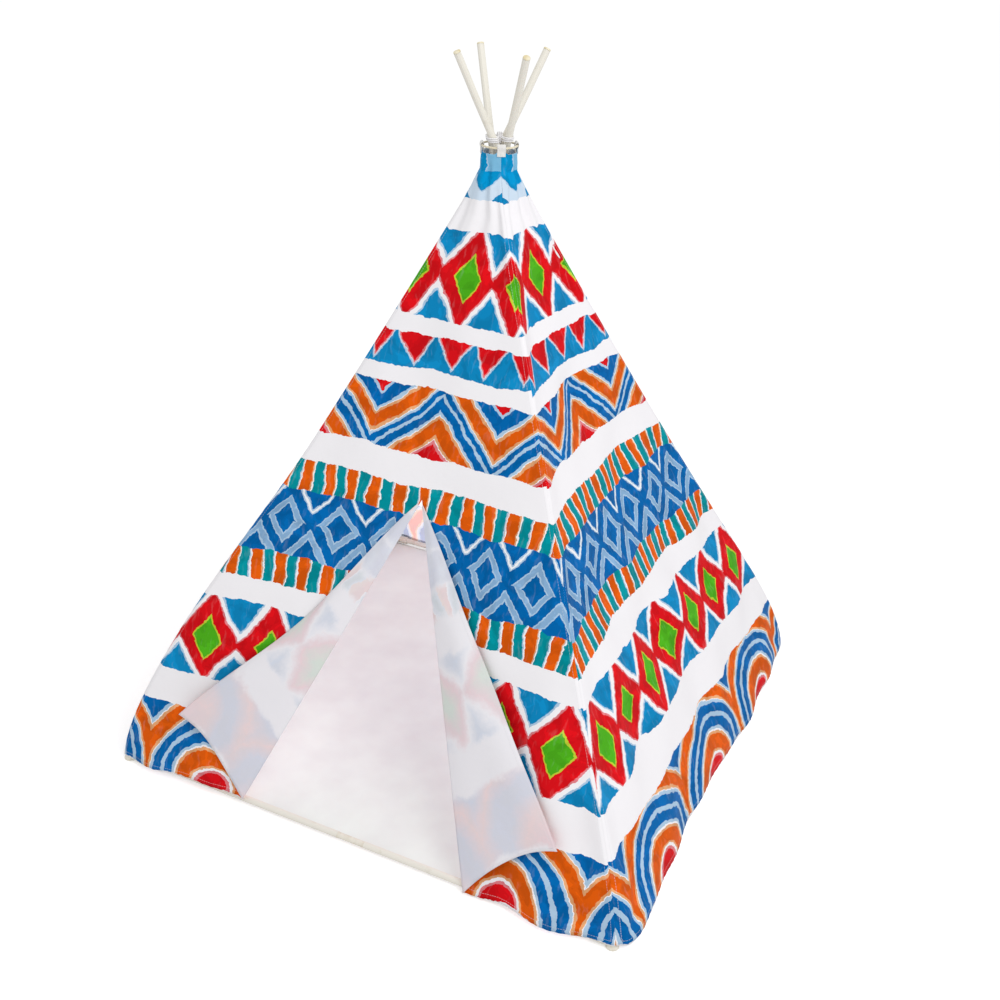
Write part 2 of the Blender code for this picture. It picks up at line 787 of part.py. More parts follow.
def main():
    """Clear the scene and build every piece."""
    for old in list(bpy.data.objects):
        bpy.data.objects.remove(old, do_unlink=True)
    tube_finish = material("pole_paint", (0.83, 0.80, 0.72), 0.38)
    plastic = material("coupling_plastic", (0.80, 0.76, 0.66), 0.45)
    cap_finish = material("cap_plastic", (0.72, 0.62, 0.40), 0.50)
    fabric = material("cover_fabric", (0.88, 0.88, 0.90), 0.60)
    flap_fabric = material("flap_fabric", (0.86, 0.86, 0.89), 0.62)
    floor_fabric = material("floor_fabric", (0.82, 0.82, 0.82), 0.65)
    sleeve_fabric = material("sleeve_fabric", (0.85, 0.85, 0.87), 0.65)
    metal = material("ring_metal", (0.78, 0.72, 0.55), 0.35, 1.0)
    webbing = material("tab_webbing", (0.86, 0.86, 0.84), 0.80)
    cord_finish = material("lashing_cord", (0.87, 0.87, 0.86), 0.75)
    build_poles(tube_finish, plastic, cap_finish)
    build_bars(tube_finish, plastic)
    build_connectors(plastic)
    build_panels(fabric)
    build_flaps(flap_fabric)
    build_floor(floor_fabric)
    build_sleeves(sleeve_fabric)
    build_ring(metal)
    build_tabs(webbing)
    build_lashing(cord_finish)
    print(f"foot reach {foot_reach:.4f} m, lean per axis {lean_per_axis:.4f}")


main()
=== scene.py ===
"""Finishes of a children's play teepee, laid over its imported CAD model.

Everything is in metres in the CAD's own frame: +Z is up, the doorway faces -Y and the origin lies on the
ground under the middle of the base. The cover, flaps, floor, sleeves, tabs and lashing are remade here as
fine cloth and cord, from the same formulas as the CAD, and the tubes and fittings get their finishes.
"""

import logging
import math
from dataclasses import dataclass
from enum import Enum
from functools import cached_property, partial

import bpy
import numpy as np
from bpy.types import ID, Material, Node, NodeSocket, NodeTree, Object
from mathutils import Matrix, Vector


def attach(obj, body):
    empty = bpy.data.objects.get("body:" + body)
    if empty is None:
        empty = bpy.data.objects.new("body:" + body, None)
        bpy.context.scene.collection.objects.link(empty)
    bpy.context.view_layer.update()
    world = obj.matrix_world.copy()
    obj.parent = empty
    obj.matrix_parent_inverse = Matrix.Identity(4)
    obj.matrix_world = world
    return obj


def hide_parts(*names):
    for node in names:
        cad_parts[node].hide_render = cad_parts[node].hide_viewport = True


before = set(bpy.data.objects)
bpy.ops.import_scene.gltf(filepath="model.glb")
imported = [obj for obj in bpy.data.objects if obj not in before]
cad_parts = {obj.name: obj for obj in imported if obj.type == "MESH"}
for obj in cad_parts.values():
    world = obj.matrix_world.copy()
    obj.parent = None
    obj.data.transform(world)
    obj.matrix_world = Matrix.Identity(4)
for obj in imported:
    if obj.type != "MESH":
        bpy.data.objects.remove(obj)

log = logging.getLogger("teepee")
Array = np.ndarray
Source = Node | NodeSocket
MM = 0.001


# Shared helpers


def linear(code: str) -> tuple[float, float, float, float]:
    """Turn an sRGB hex colour into linear values.

    Args:
        code: colour as "#rrggbb".

    Returns:
        Linear red, green, blue and an alpha of 1.
    """
    shares = [int(code[k:k + 2], 16) / 255 for k in (1, 3, 5)]
    lit = [s / 12.92 if s <= 0.04045 else ((s + 0.055) / 1.055) ** 2.4 for s in shares]
    return (*lit, 1.0)


def smooth(share: Array) -> Array:
    """Ease a share from 0 to 1, flat at both ends: 3s^2 - 2s^3."""
    share = np.clip(share, 0.0, 1.0)
    return share * share * (3.0 - 2.0 * share)


def feed(tree: NodeTree, node: Node, inputs: dict) -> None:
    """Set or link a node's inputs.

    Args:
        tree: the node tree.
        node: node that gets them.
        inputs: values, sockets or nodes, by the input's name or place. A node gives its first enabled output.
    """
    for name, value in inputs.items():
        if isinstance(value, Node):
            value = next(output for output in value.outputs if output.enabled)
        if isinstance(value, NodeSocket):
            tree.links.new(value, node.inputs[name])
        else:
            node.inputs[name].default_value = value


def add_node(tree: NodeTree, kind: str, inputs: dict | None = None, **settings: object) -> Node:
    """Add a shader node with its settings, values and links.

    Args:
        tree: node tree that gets the node.
        kind: type of the node, without its ShaderNode prefix.
        inputs: what feed gives to the node.
        settings: properties of the node.

    Returns:
        The new node.
    """
    node = tree.nodes.new("ShaderNode" + kind)
    for name, value in settings.items():
        setattr(node, name, value)
    feed(tree, node, inputs or {})
    return node


def set_ramp(node: Node, stops: list[tuple[float, str]], stepped: bool = False) -> Node:
    """Give a colour ramp its stops.

    Args:
        node: the colour ramp.
        stops: pairs of place and hex colour, in order.
        stepped: whether each colour holds until the next, without a blend.

    Returns:
        The same ramp.
    """
    ramp = node.color_ramp
    ramp.interpolation = "CONSTANT" if stepped else "LINEAR"
    while len(ramp.elements) > 1:
        ramp.elements.remove(ramp.elements[-1])
    ramp.elements[0].position, ramp.elements[0].color = stops[0][0], linear(stops[0][1])
    for place, code in stops[1:]:
        ramp.elements.new(place).color = linear(code)
    return node


def grid_faces(rows: int, columns: int, around: bool = False) -> Array:
    """List the faces of a grid of points that runs row by row.

    Args:
        rows: number of rows of points.
        columns: number of points in a row.
        around: whether each row closes on itself.

    Returns:
        Four corner indices for each face.
    """
    index = np.arange(rows * columns).reshape(rows, columns)
    after = np.roll(index, -1, axis=1) if around else index[:, 1:]
    here = index if around else index[:, :-1]
    return np.stack([here[:-1], after[:-1], after[1:], here[1:]], axis=-1).reshape(-1, 4)


def grid_corners(u: Array, v: Array) -> Array:
    """Texture coordinates for the faces of a closed grid, one pair for each face corner.

    Args:
        u: coordinate along a row, one more than the row's points.
        v: coordinate from row to row.

    Returns:
        Pairs in the order of the faces of grid_faces with around set.
    """
    across, along = np.meshgrid(u, v)
    pair = np.stack([across, along], axis=-1)
    return np.stack([pair[:-1, :-1], pair[:-1, 1:], pair[1:, 1:], pair[1:, :-1]], axis=2).reshape(-1, 2)


def weld(points: Array, faces: Array) -> tuple[Array, Array, Array]:
    """Join points that lie in the same place.

    Args:
        points: rows of coordinates.
        faces: corner indices.

    Returns:
        The kept points, the faces on them, and the index of each kept point.
    """
    cells = np.round(points / 1e-6).astype(np.int64)
    _, kept, place = np.unique(cells, axis=0, return_index=True, return_inverse=True)
    return points[kept], place.ravel()[faces], kept


def put(name: str, data: ID) -> Object:
    """Make an object of some data and link it to the scene.

    Args:
        name: name of the object.
        data: mesh, lamp or camera that it shows.

    Returns:
        The new object.
    """
    made = bpy.data.objects.new(name, data)
    bpy.context.scene.collection.objects.link(made)
    return made


def make_piece(name: str, points: Array, faces: Array, maps: dict[str, Array], finishes: list["Finish"],
               body: str, node: str) -> Object:
    """Put arrays into a mesh that rides on a body, in place of a CAD node.

    Args:
        name: name of the piece.
        points: rows of coordinates in the CAD's frame.
        faces: four corner indices for each face.
        maps: texture coordinates by name, for each point or for each face corner.
        finishes: finishes of the material places.
        body: CAD body that carries the piece.
        node: CAD node that it replaces.

    Returns:
        The new object.
    """
    mesh = bpy.data.meshes.new(name)
    mesh.from_pydata(points.tolist(), [], faces.tolist())
    for title, pairs in maps.items():
        layer = mesh.uv_layers.new(name=title)
        spread = pairs[faces.ravel()] if len(pairs) == len(points) else pairs
        layer.data.foreach_set("uv", spread.astype(np.float32).ravel())
    for finish in finishes:
        mesh.materials.append(finish.material())
    mesh.shade_smooth()
    piece = put(name, mesh)
    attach(piece, body)
    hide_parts(node)
    log.info("%s: %d points", name, len(points))
    return piece


def thicken(piece: Object, wall: float, offset: float = -1.0, inner: int = 1) -> None:
    """Give a sheet its thickness, with another finish on its far side.

    Args:
        piece: the sheet.
        wall: thickness.
        offset: -1 puts the wall behind the faces, 0 to both sides.
        inner: how many material places further the far side's finish is.
    """
    step = piece.modifiers.new("wall", "SOLIDIFY")
    step.thickness, step.offset = wall, offset
    step.material_offset = step.material_offset_rim = inner


def circle(count: int) -> Array:
    """Even angles of a full turn."""
    return np.arange(count) * math.tau / count


def frames_along(path: Array) -> tuple[Array, Array, Array]:
    """Directions across a path, carried along it without twist.

    Args:
        path: rows of points.

    Returns:
        Unit tangents, first and second unit normals.
    """
    tangent = np.gradient(path, axis=0)
    tangent /= np.linalg.norm(tangent, axis=1, keepdims=True)
    guide = np.array([0.0, 0.0, 1.0]) if abs(tangent[0, 2]) < 0.9 else np.array([1.0, 0.0, 0.0])
    first = np.empty_like(path)
    held = guide - tangent[0] * (guide @ tangent[0])
    for k, line in enumerate(tangent):
        held = held - line * (held @ line)
        held = held / np.linalg.norm(held)
        first[k] = held
    return tangent, first, np.cross(tangent, first)


def tube_points(path: Array, radius: Array, sides: int) -> Array:
    """Rings of points round a path: centre + radius (cos a first + sin a second).

    Args:
        path: rows of points.
        radius: radius for each ring, or for each ring and side.
        sides: points in a ring.

    Returns:
        Rows of coordinates, ring by ring.
    """
    _, first, second = frames_along(path)
    angle = circle(sides)
    radius = radius if np.ndim(radius) == 2 else np.reshape(radius, (-1, 1))
    spread = np.broadcast_to(radius, (len(path), sides))
    ring = np.cos(angle)[None, :, None] * first[:, None] + np.sin(angle)[None, :, None] * second[:, None]
    return (path[:, None] + ring * spread[..., None]).reshape(-1, 3)


def length_along(path: Array) -> Array:
    """Distance of each point of a path from its start."""
    return np.concatenate([[0.0], np.cumsum(np.linalg.norm(np.diff(path, axis=0), axis=1))])


def sampled(path: Array, marks: Array) -> Array:
    """Points of a path at the given distances from its start."""
    length = length_along(path)
    return np.column_stack([np.interp(marks, length, column) for column in path.T])


def relaxed(path: Array, times: int) -> Array:
    """Even out a path in place: each inner point moves to (before + 2 itself + after) / 4.

    Args:
        path: rows of points.
        times: how often they move.

    Returns:
        The same path.
    """
    for _ in range(times):
        path[1:-1] = (path[:-2] + 2 * path[1:-1] + path[2:]) / 4
    return path


def slow_waves(dice: np.random.Generator, x: Array, y: Array, count: int,
               lengths: tuple[float, float]) -> Array:
    """Add up sine waves of random direction, length and phase.

    Args:
        dice: source of the random draws.
        x: first coordinate.
        y: second coordinate.
        count: number of waves.
        lengths: least and greatest wavelength.

    Returns:
        The sum at each place.
    """
    total = np.zeros_like(x)
    for _ in range(count):
        turn, wave, phase = dice.uniform(0, math.pi), dice.uniform(*lengths), dice.uniform(0, math.tau)
        total += np.sin(math.tau * (x * math.cos(turn) + y * math.sin(turn)) / wave + phase)
    return total


# Finishes

# a wave texture of scale 1 repeats after this many units
WAVE_UNIT = math.tau / 20


@dataclass(frozen=True)
class Relief:
    """One bump of a finish: the pattern of its heights, its depth in metres and its strength."""

    height: Source
    distance: float
    strength: float
    invert: bool = False


def settle(tree: NodeTree, shader: Node, reliefs: list[Relief], inputs: dict) -> None:
    """Chain the bumps, coarse ones first, and give the shader its inputs.

    Args:
        tree: the material's node tree.
        shader: its Principled BSDF.
        reliefs: the bumps.
        inputs: what feed gives to the shader.
    """
    normal = {}
    for relief in reliefs:
        bump = add_node(tree, "Bump", {
            "Height": relief.height, "Distance": relief.distance, "Strength": relief.strength, **normal,
        }, invert=relief.invert)
        normal = {"Normal": bump}
    feed(tree, shader, {**inputs, **normal})


def woven(tree: NodeTree, cloth: Source, thread: float) -> Source:
    """Heights of a plain weave: a wave along the warp times one along the weft.

    Args:
        tree: the material's node tree.
        cloth: place on the cloth.
        thread: distance between threads.

    Returns:
        The heights.
    """
    warp, weft = (
        add_node(tree, "TexWave", {"Vector": cloth, "Scale": WAVE_UNIT / thread},
                 bands_direction=way).outputs["Fac"]
        for way in ("X", "Y"))
    return add_node(tree, "Math", {0: warp, 1: weft}, operation="MULTIPLY")


@dataclass(frozen=True)
class Finish:
    """What every finish shares: a material that is made once and handed out after that."""

    name: str

    def material(self) -> Material:
        """Return the finish's material, made at its first use."""
        made = bpy.data.materials.get(self.name)
        if made is None:
            made = bpy.data.materials.new(self.name)
            made.use_nodes = True
            self.dress(made.node_tree, made.node_tree.nodes["Principled BSDF"])
        return made

    def dress(self, tree: NodeTree, shader: Node) -> None:
        """Fill the material's node tree."""
        raise NotImplementedError


class Motif(Enum):
    """Ornaments of the print. Each is a distance that a colour ramp reads."""

    ARCHES = "arches inside one another, standing on the band's lower edge"
    LOZENGES = "lozenges inside one another, in a row"
    ZIGZAG = "lines side by side that rise and fall"
    TEETH = "triangles that point up and down in turn"
    STROKES = "upright brush strokes"


# what a motif's colour ramp reads: weights of the parts across and up, and what is added to their sum
READINGS = {
    Motif.LOZENGES: ((0.5, 0.5, 0.0), 0.0),
    Motif.ZIGZAG: ((0.5, 0.5, 0.0), 0.0),
    Motif.TEETH: ((0.5, -0.5, 0.0), 0.5),
    Motif.STROKES: ((0.5, 0.0, 0.0), 0.5),
}
# upwards a motif wraps this many heights away, so it never repeats there
NO_REPEAT = 900.0
# a ramp's colours that are narrower than this are fringes, which the blurred print leaves out
FRINGE_LIMIT = 0.045


@dataclass(frozen=True)
class Band:
    """One band of the print, with its place on the cloth in metres above the hem."""

    bottom: float
    top: float
    motif: Motif
    period: float
    stops: tuple[tuple[float, str], ...]
    shift: float = 0.0

    def paint(self, tree: NodeTree, place: Source, height: Source, under: Source, blurred: bool) -> Source:
        """Add the band's nodes.

        The place is scaled so that the motif repeats from -1 to 1 across, and then:
        arches read the length of the vector, lozenges and zigzags the sum of its parts,
        teeth their difference and strokes the part across alone.

        Args:
            tree: node tree of the print.
            place: distance from the panel's middle and from its hem.
            height: distance from the hem.
            under: colour under the band.
            blurred: whether its colours run into each other, as ink does on its way through cloth.

        Returns:
            Colour with the band laid over.
        """
        add = partial(add_node, tree)
        tall, half, middle = self.top - self.bottom, self.period / 2, (self.top + self.bottom) / 2
        scale, start = (2 / tall, middle) if self.motif is Motif.LOZENGES else (1 / tall, self.bottom)
        local = add("VectorMath", {
            0: place, 1: (1 / half, scale, 0.0), 2: (self.shift, -start * scale, 0.0)},
            operation="MULTIPLY_ADD")
        local = add("VectorMath", {0: local, 1: (1.0, NO_REPEAT, 1.0), 2: (-1.0, -NO_REPEAT, -1.0)},
                    operation="WRAP")
        if self.motif is not Motif.STROKES:
            local = add("VectorMath", {0: local}, operation="ABSOLUTE")
        if self.motif is Motif.ARCHES:
            local = add("VectorMath", {0: local, 1: (half, tall, 0.0)}, operation="MULTIPLY")
            reach = add("VectorMath", {0: local}, operation="LENGTH")
            share = add("Math", {0: reach, 1: 1 / math.hypot(half, tall)}, operation="MULTIPLY")
        else:
            weights, offset = READINGS[self.motif]
            total = add("VectorMath", {0: local, 1: weights}, operation="DOT_PRODUCT")
            share = add("Math", {0: total, 1: offset}, operation="ADD")
        stops = self.stops
        if blurred:
            ends = [begin for begin, _ in stops[1:]] + [1.0]
            stops = [((begin + end) / 2, hue) for (begin, hue), end in zip(stops, ends)
                     if end - begin > FRINGE_LIMIT]
            away = add("Math", {0: height, 1: middle}, operation="SUBTRACT")
            inside = add("MapRange", {
                "Value": add("Math", {0: away}, operation="ABSOLUTE"),
                "From Min": tall / 2 + 6 * MM, "From Max": tall / 2 - 12 * MM,
            }, interpolation_type="SMOOTHSTEP")
        else:
            inside = add("Math", {0: height, 1: middle, 2: tall / 2}, operation="COMPARE")
        ramp = set_ramp(add("ValToRGB", {0: share}), stops, stepped=not blurred)
        return add("Mix", {0: inside, 6: under, 7: ramp}, data_type="RGBA")


WHITE, SKY, PALE, CYAN, BLUE = "#f6f4f7", "#0e90cc", "#b2cfe8", "#0098d4", "#006cb8"
LAVENDER, ORANGE, PEACH, RED, PINK = "#90b8de", "#ee620c", "#f6b27c", "#e8121c", "#f0888f"
GREEN, LIME, TEAL, MIST = "#52b81e", "#c8dc3c", "#009aa6", "#cfe0f0"
FRINGE = {RED: PINK, ORANGE: PEACH, GREEN: LIME, MIST: MIST,
          **dict.fromkeys((BLUE, SKY, TEAL, CYAN, LAVENDER), PALE)}


def strokes(*runs: tuple[float, str], fringe: float = 0.03) -> tuple[tuple[float, str], ...]:
    """Stops of a ramp with a thin pale fringe beside each colour, as wet paint leaves it.

    Args:
        runs: pairs of the place where a colour ends and the colour.
        fringe: width of the fringe.

    Returns:
        Pairs of the place where a colour starts and the colour.
    """
    stops = [(0.0, runs[0][1])]
    for (end, colour), (_, following) in zip(runs, runs[1:]):
        start = end - fringe if colour == WHITE else end
        stops += [(start, FRINGE.get(colour) or FRINGE[following]), (start + fringe, following)]
    return tuple(stops)


BANDS = (
    Band(0.000, 0.143, Motif.ARCHES, 0.300, strokes(
        (0.15, RED), (0.23, WHITE), (0.37, ORANGE), (0.44, WHITE), (0.53, BLUE), (0.545, PALE), (0.65, BLUE),
        (0.71, WHITE), (0.82, ORANGE), (0.88, WHITE), (1.00, BLUE), fringe=0.026)),
    Band(0.216, 0.372, Motif.LOZENGES, 0.118, strokes(
        (0.24, GREEN), (0.52, RED), (0.67, WHITE), (1.00, SKY), fringe=0.032)),
    Band(0.420, 0.474, Motif.STROKES, 0.046, strokes(
        (0.40, ORANGE), (0.49, WHITE), (0.89, TEAL), (1.00, WHITE), fringe=0.05)),
    Band(0.474, 0.540, Motif.ZIGZAG, 0.100, strokes(
        (0.26, BLUE), (0.40, LAVENDER), (0.64, BLUE), (0.76, LAVENDER), (1.00, BLUE), fringe=0.03)),
    Band(0.540, 0.602, Motif.ZIGZAG, 0.100, strokes(
        (0.24, BLUE), (0.38, LAVENDER), (0.66, BLUE), (0.76, WHITE), (1.00, BLUE), fringe=0.03), shift=1.0),
    Band(0.602, 0.654, Motif.STROKES, 0.046, strokes(
        (0.40, TEAL), (0.49, WHITE), (0.89, ORANGE), (1.00, WHITE), fringe=0.05), shift=0.4),
    Band(0.710, 0.826, Motif.ZIGZAG, 0.240, strokes(
        (0.12, RED), (0.18, WHITE), (0.31, ORANGE), (0.37, WHITE), (0.45, BLUE), (0.46, PALE), (0.54, BLUE),
        (0.60, WHITE), (0.71, ORANGE), (0.77, WHITE), (0.90, BLUE), (1.00, RED), fringe=0.026)),
    Band(0.858, 0.918, Motif.TEETH, 0.074, strokes((0.38, RED), (0.47, WHITE), (1.00, SKY), fringe=0.04)),
    Band(0.948, 1.106, Motif.LOZENGES, 0.106, strokes(
        (0.24, GREEN), (0.53, RED), (0.68, WHITE), (1.00, SKY), fringe=0.034)),
    Band(1.163, 1.214, Motif.TEETH, 0.092, strokes((0.34, CYAN), (0.72, MIST), (1.00, SKY), fringe=0.03)),
    Band(1.214, 1.290, Motif.STROKES, 0.104, strokes((0.52, CYAN), (1.00, "#86c6ea"), fringe=0.02),
         shift=0.14),
)


@dataclass(frozen=True)
class PrintedPolyester(Finish):
    """Plain-woven polyester, transfer printed on one side: smooth, faintly glossy, matt in its weave.

    The print is banded like painted folk ornament, with rough edges and streaks as a broad brush leaves
    them. On the reverse only a faint, blurred tint of it comes through.
    """

    strength: float = 1.0
    ground: str = "#f3f1f3"
    roughness: float = 0.46
    blurred: bool = False
    # strength of a painted glow of the cloth's own colour, standing in for daylight that comes through it
    daylight: float = 0.0
    edge_wander: float = 11.0 * MM
    edge_grain: float = 4.6 * MM
    bristle: float = 7.0 * MM
    bristle_length: float = 34.0 * MM
    # threads lie 0.25 mm apart; drawn three times as coarse, to show in a close view
    thread: float = 0.75 * MM
    crease: float = 38.0 * MM
    streak: float = 0.07
    stitch_inset: float = 9.0 * MM
    stitch_pitch: float = 4.5 * MM
    stitch_share: float = 0.7
    stitch_width: float = 0.5 * MM
    stitch_end: float = 1.10
    stitch_shade: float = 0.45
    stitch_colour: str = "#e4e3e8"

    def painted(self, tree: NodeTree, cloth: Source) -> Source:
        """Lay the bands over the white ground.

        Args:
            tree: the material's node tree.
            cloth: distances from the panel's middle and hem.

        Returns:
            Colour of the cloth.
        """
        add = partial(add_node, tree)
        place = cloth
        for reach, grain in (
            (self.edge_wander, {"Scale": 1 / (75 * MM), "Detail": 1.0}),
            (self.edge_grain, {"Scale": 1 / (12 * MM), "Detail": 2.5, "Roughness": 0.58}),
        ):
            noise = add("TexNoise", {"Vector": cloth, **grain}).outputs["Color"]
            moved = add("VectorMath", {0: noise, 1: (reach * 2,) * 3, 2: (-reach,) * 3},
                        operation="MULTIPLY_ADD")
            place = add("VectorMath", {0: place, 1: moved}, operation="ADD")
        height = add("SeparateXYZ", {0: place}).outputs[1]
        ground = add("RGB")
        ground.outputs[0].default_value = linear(WHITE)
        colour = ground
        for band in BANDS:
            colour = band.paint(tree, place, height, colour, self.blurred)
        # paint pools in darker patches, where the cloth is coloured
        pool = add("TexNoise", {"Vector": place, "Scale": 1 / (34 * MM), "Detail": 2.0, "Distortion": 0.6})
        tone = set_ramp(add("ValToRGB", {0: pool}), [
            (0.0, "#ffffff"), (0.40, "#f0f0f0"), (0.535, "#e4e4e4"), (0.60, "#dcdcdc")], stepped=True)
        shaded = add("Mix", {0: 1.0, 6: colour, 7: tone}, data_type="RGBA", blend_type="MULTIPLY")
        saturation = add("SeparateColor", {0: colour}, mode="HSV").outputs[1]
        full = add("MapRange", {"Value": saturation, "From Min": 0.25, "From Max": 0.7})
        colour = add("Mix", {0: full, 6: colour, 7: shaded}, data_type="RGBA")
        # bristles leave thin streaks that run upwards
        bristles = add("VectorMath", {0: place, 1: (1 / self.bristle, 1 / self.bristle_length, 0.0)},
                       operation="MULTIPLY")
        streak = add("TexNoise", {"Vector": bristles, "Scale": 1.0, "Detail": 1.0})
        thin = add("MapRange", {
            "Value": streak, "From Min": 0.58, "From Max": 0.80, "To Min": 0.0, "To Max": self.streak})
        return add("Mix", {0: thin, 6: colour, 7: ground}, data_type="RGBA")

    def dress(self, tree: NodeTree, shader: Node) -> None:
        """Printed colour, stitched hems, weave and fine creases."""
        add = partial(add_node, tree)
        cloth, edge = (add("UVMap", uv_map=title) for title in ("cloth", "edge"))
        colour = self.painted(tree, cloth)
        if self.strength < 1.0:
            colour = add("Mix", {0: self.strength, 6: linear(self.ground), 7: colour}, data_type="RGBA")
        inward, along = add("SeparateXYZ", {0: edge}).outputs[:2]
        rise = add("SeparateXYZ", {0: cloth}).outputs[1]
        stitch = add("Math", {0: inward, 1: self.stitch_inset, 2: self.stitch_width}, operation="COMPARE")
        beat = add("Math", {0: along, 1: self.stitch_pitch}, operation="FLOORED_MODULO")
        dash = add("Math", {0: beat, 1: self.stitch_pitch * self.stitch_share}, operation="LESS_THAN")
        below = add("Math", {0: rise, 1: self.stitch_end}, operation="LESS_THAN")
        for part in (dash, below):
            stitch = add("Math", {0: stitch, 1: part}, operation="MULTIPLY")
        shown = add("Math", {0: stitch, 1: self.stitch_shade}, operation="MULTIPLY")
        colour = add("Mix", {0: shown, 6: colour, 7: linear(self.stitch_colour)}, data_type="RGBA")
        weave = woven(tree, cloth, self.thread)
        fold = add("TexNoise", {"Vector": cloth, "Scale": 1 / self.crease, "Detail": 3.0})
        reliefs = [
            Relief(fold, 2.2 * MM, 0.5), Relief(weave, 0.10 * MM, 0.35),
            Relief(stitch, 0.4 * MM, 0.6, invert=True)]
        inputs = {"Base Color": colour, "Roughness": self.roughness, "IOR": 1.5, "Specular IOR Level": 0.03}
        if self.daylight:
            # painted glow: where the cloth is single, between the hem and the collar, it gives off its own
            # colour as light, in place of the daylight that would come through it
            middle = (self.stitch_end + self.stitch_inset) / 2
            reach = (self.stitch_end - self.stitch_inset) / 2
            single = add("Math", {0: rise, 1: middle, 2: reach}, operation="COMPARE")
            inputs["Emission Color"] = colour
            inputs["Emission Strength"] = add("Math", {0: single, 1: self.daylight}, operation="MULTIPLY")
        settle(tree, shader, reliefs, inputs)


@dataclass(frozen=True)
class PlainPolyester(Finish):
    """Undyed polyester cloth for the floor and the pole sleeves: white, matt, plain weave."""

    colour: str = "#eeecee"
    deep_colour: str = "#edefec"
    roughness: float = 0.62
    # threads lie 0.35 mm apart; drawn coarser, to show in a close view
    thread: float = 0.9 * MM
    crease: float = 60.0 * MM

    def dress(self, tree: NodeTree, shader: Node) -> None:
        """White cloth with its weave, slight shade changes and fine creases."""
        add = partial(add_node, tree)
        cloth = add("UVMap", uv_map="cloth")
        shade = add("TexNoise", {"Vector": cloth, "Scale": 1 / (90 * MM), "Detail": 3.0})
        fold = add("TexNoise", {"Vector": cloth, "Scale": 1 / self.crease, "Detail": 2.0})
        reliefs = [Relief(fold, 2.0 * MM, 0.4), Relief(woven(tree, cloth, self.thread), 0.12 * MM, 0.35)]
        settle(tree, shader, reliefs, {
            "Base Color": set_ramp(add("ValToRGB", {0: shade}),
                                   [(0.3, self.deep_colour), (0.7, self.colour)]),
            "Roughness": self.roughness, "Specular IOR Level": 0.3, "Sheen Weight": 0.15,
        })


@dataclass(frozen=True)
class PaintedSteel(Finish):
    """Powder-coated steel tube: cream, satin, with the coat's fine orange peel and small rubbed marks."""

    colour: str = "#ebe7dc"
    worn_colour: str = "#e0dacb"
    roughness: float = 0.38
    peel: float = 1.4 * MM

    def dress(self, tree: NodeTree, shader: Node) -> None:
        """Cream coat with a faint mottle and orange peel."""
        add = partial(add_node, tree)
        spot = add("TexCoord").outputs["Object"]
        mottle = add("TexNoise", {"Vector": spot, "Scale": 1 / (22 * MM), "Detail": 4.0})
        peel = add("TexNoise", {"Vector": spot, "Scale": 1 / self.peel, "Detail": 1.0})
        settle(tree, shader, [Relief(peel, 0.02 * MM, 0.25)], {
            "Base Color": set_ramp(add("ValToRGB", {0: mottle}), [
                (0.28, self.worn_colour), (0.40, self.colour), (1.0, self.colour)]),
            "Roughness": add("MapRange", {
                "Value": mottle, "To Min": self.roughness + 0.08, "To Max": self.roughness - 0.06}),
            "IOR": 1.5,
        })


@dataclass(frozen=True)
class MouldedNylon(Finish):
    """Injection-moulded nylon fittings: slightly waxy, with a finely eroded surface and faint flow marks."""

    colour: str = "#ebe6d9"
    deep_colour: str = "#e0d9c8"
    roughness: float = 0.46
    grain: float = 0.6 * MM

    def dress(self, tree: NodeTree, shader: Node) -> None:
        """Even plastic with spark-eroded grain."""
        add = partial(add_node, tree)
        spot = add("TexCoord").outputs["Object"]
        flow = add("TexNoise", {"Vector": spot, "Scale": 1 / (14 * MM), "Detail": 2.0})
        grain = add("TexNoise", {"Vector": spot, "Scale": 1 / self.grain, "Detail": 2.0})
        settle(tree, shader, [Relief(grain, 0.04 * MM, 0.5)], {
            "Base Color": set_ramp(add("ValToRGB", {0: flow}),
                                   [(0.35, self.deep_colour), (0.60, self.colour)]),
            "Roughness": self.roughness, "IOR": 1.53,
        })


@dataclass(frozen=True)
class WovenTape(Finish):
    """Woven polyester tape: white, with ribs across it."""

    colour: str = "#f2f1ee"
    # painted shade: the grooves between the ribs are coloured darker, following the rib wave
    rib_shade_colour: str = "#d5d3cf"
    rib: float = 1.1 * MM

    def dress(self, tree: NodeTree, shader: Node) -> None:
        """Ribs from a wave along the tape, with painted shade in the grooves between them."""
        add = partial(add_node, tree)
        ribs = add("TexWave", {
            "Vector": add("UVMap", uv_map="cloth"), "Scale": WAVE_UNIT / self.rib, "Distortion": 0.6,
            "Detail Scale": 2.0,
        }, bands_direction="Y").outputs["Fac"]
        settle(tree, shader, [Relief(ribs, 0.25 * MM, 0.7)], {
            "Base Color": set_ramp(add("ValToRGB", {0: ribs}),
                                   [(0.05, self.rib_shade_colour), (0.45, self.colour)]),
            "Roughness": 0.75, "Sheen Weight": 0.2,
        })


@dataclass(frozen=True)
class TwistedCotton(Finish):
    """Twisted cotton cord: soft, matt white strands with fine fibres."""

    colour: str = "#fbfafb"
    shade_colour: str = "#e2e0e6"
    fibre: float = 0.5 * MM

    def dress(self, tree: NodeTree, shader: Node) -> None:
        """Fine fibres on the strands."""
        add = partial(add_node, tree)
        cloth = add("UVMap", uv_map="cloth")
        fibres = add("TexNoise", {"Vector": cloth, "Scale": 1 / self.fibre, "Detail": 3.0})
        settle(tree, shader, [Relief(fibres, 0.2 * MM, 0.6)], {
            "Base Color": set_ramp(add("ValToRGB", {0: fibres}),
                                   [(0.25, self.shade_colour), (0.55, self.colour)]),
            "Roughness": 0.9, "Sheen Weight": 0.3,
        })


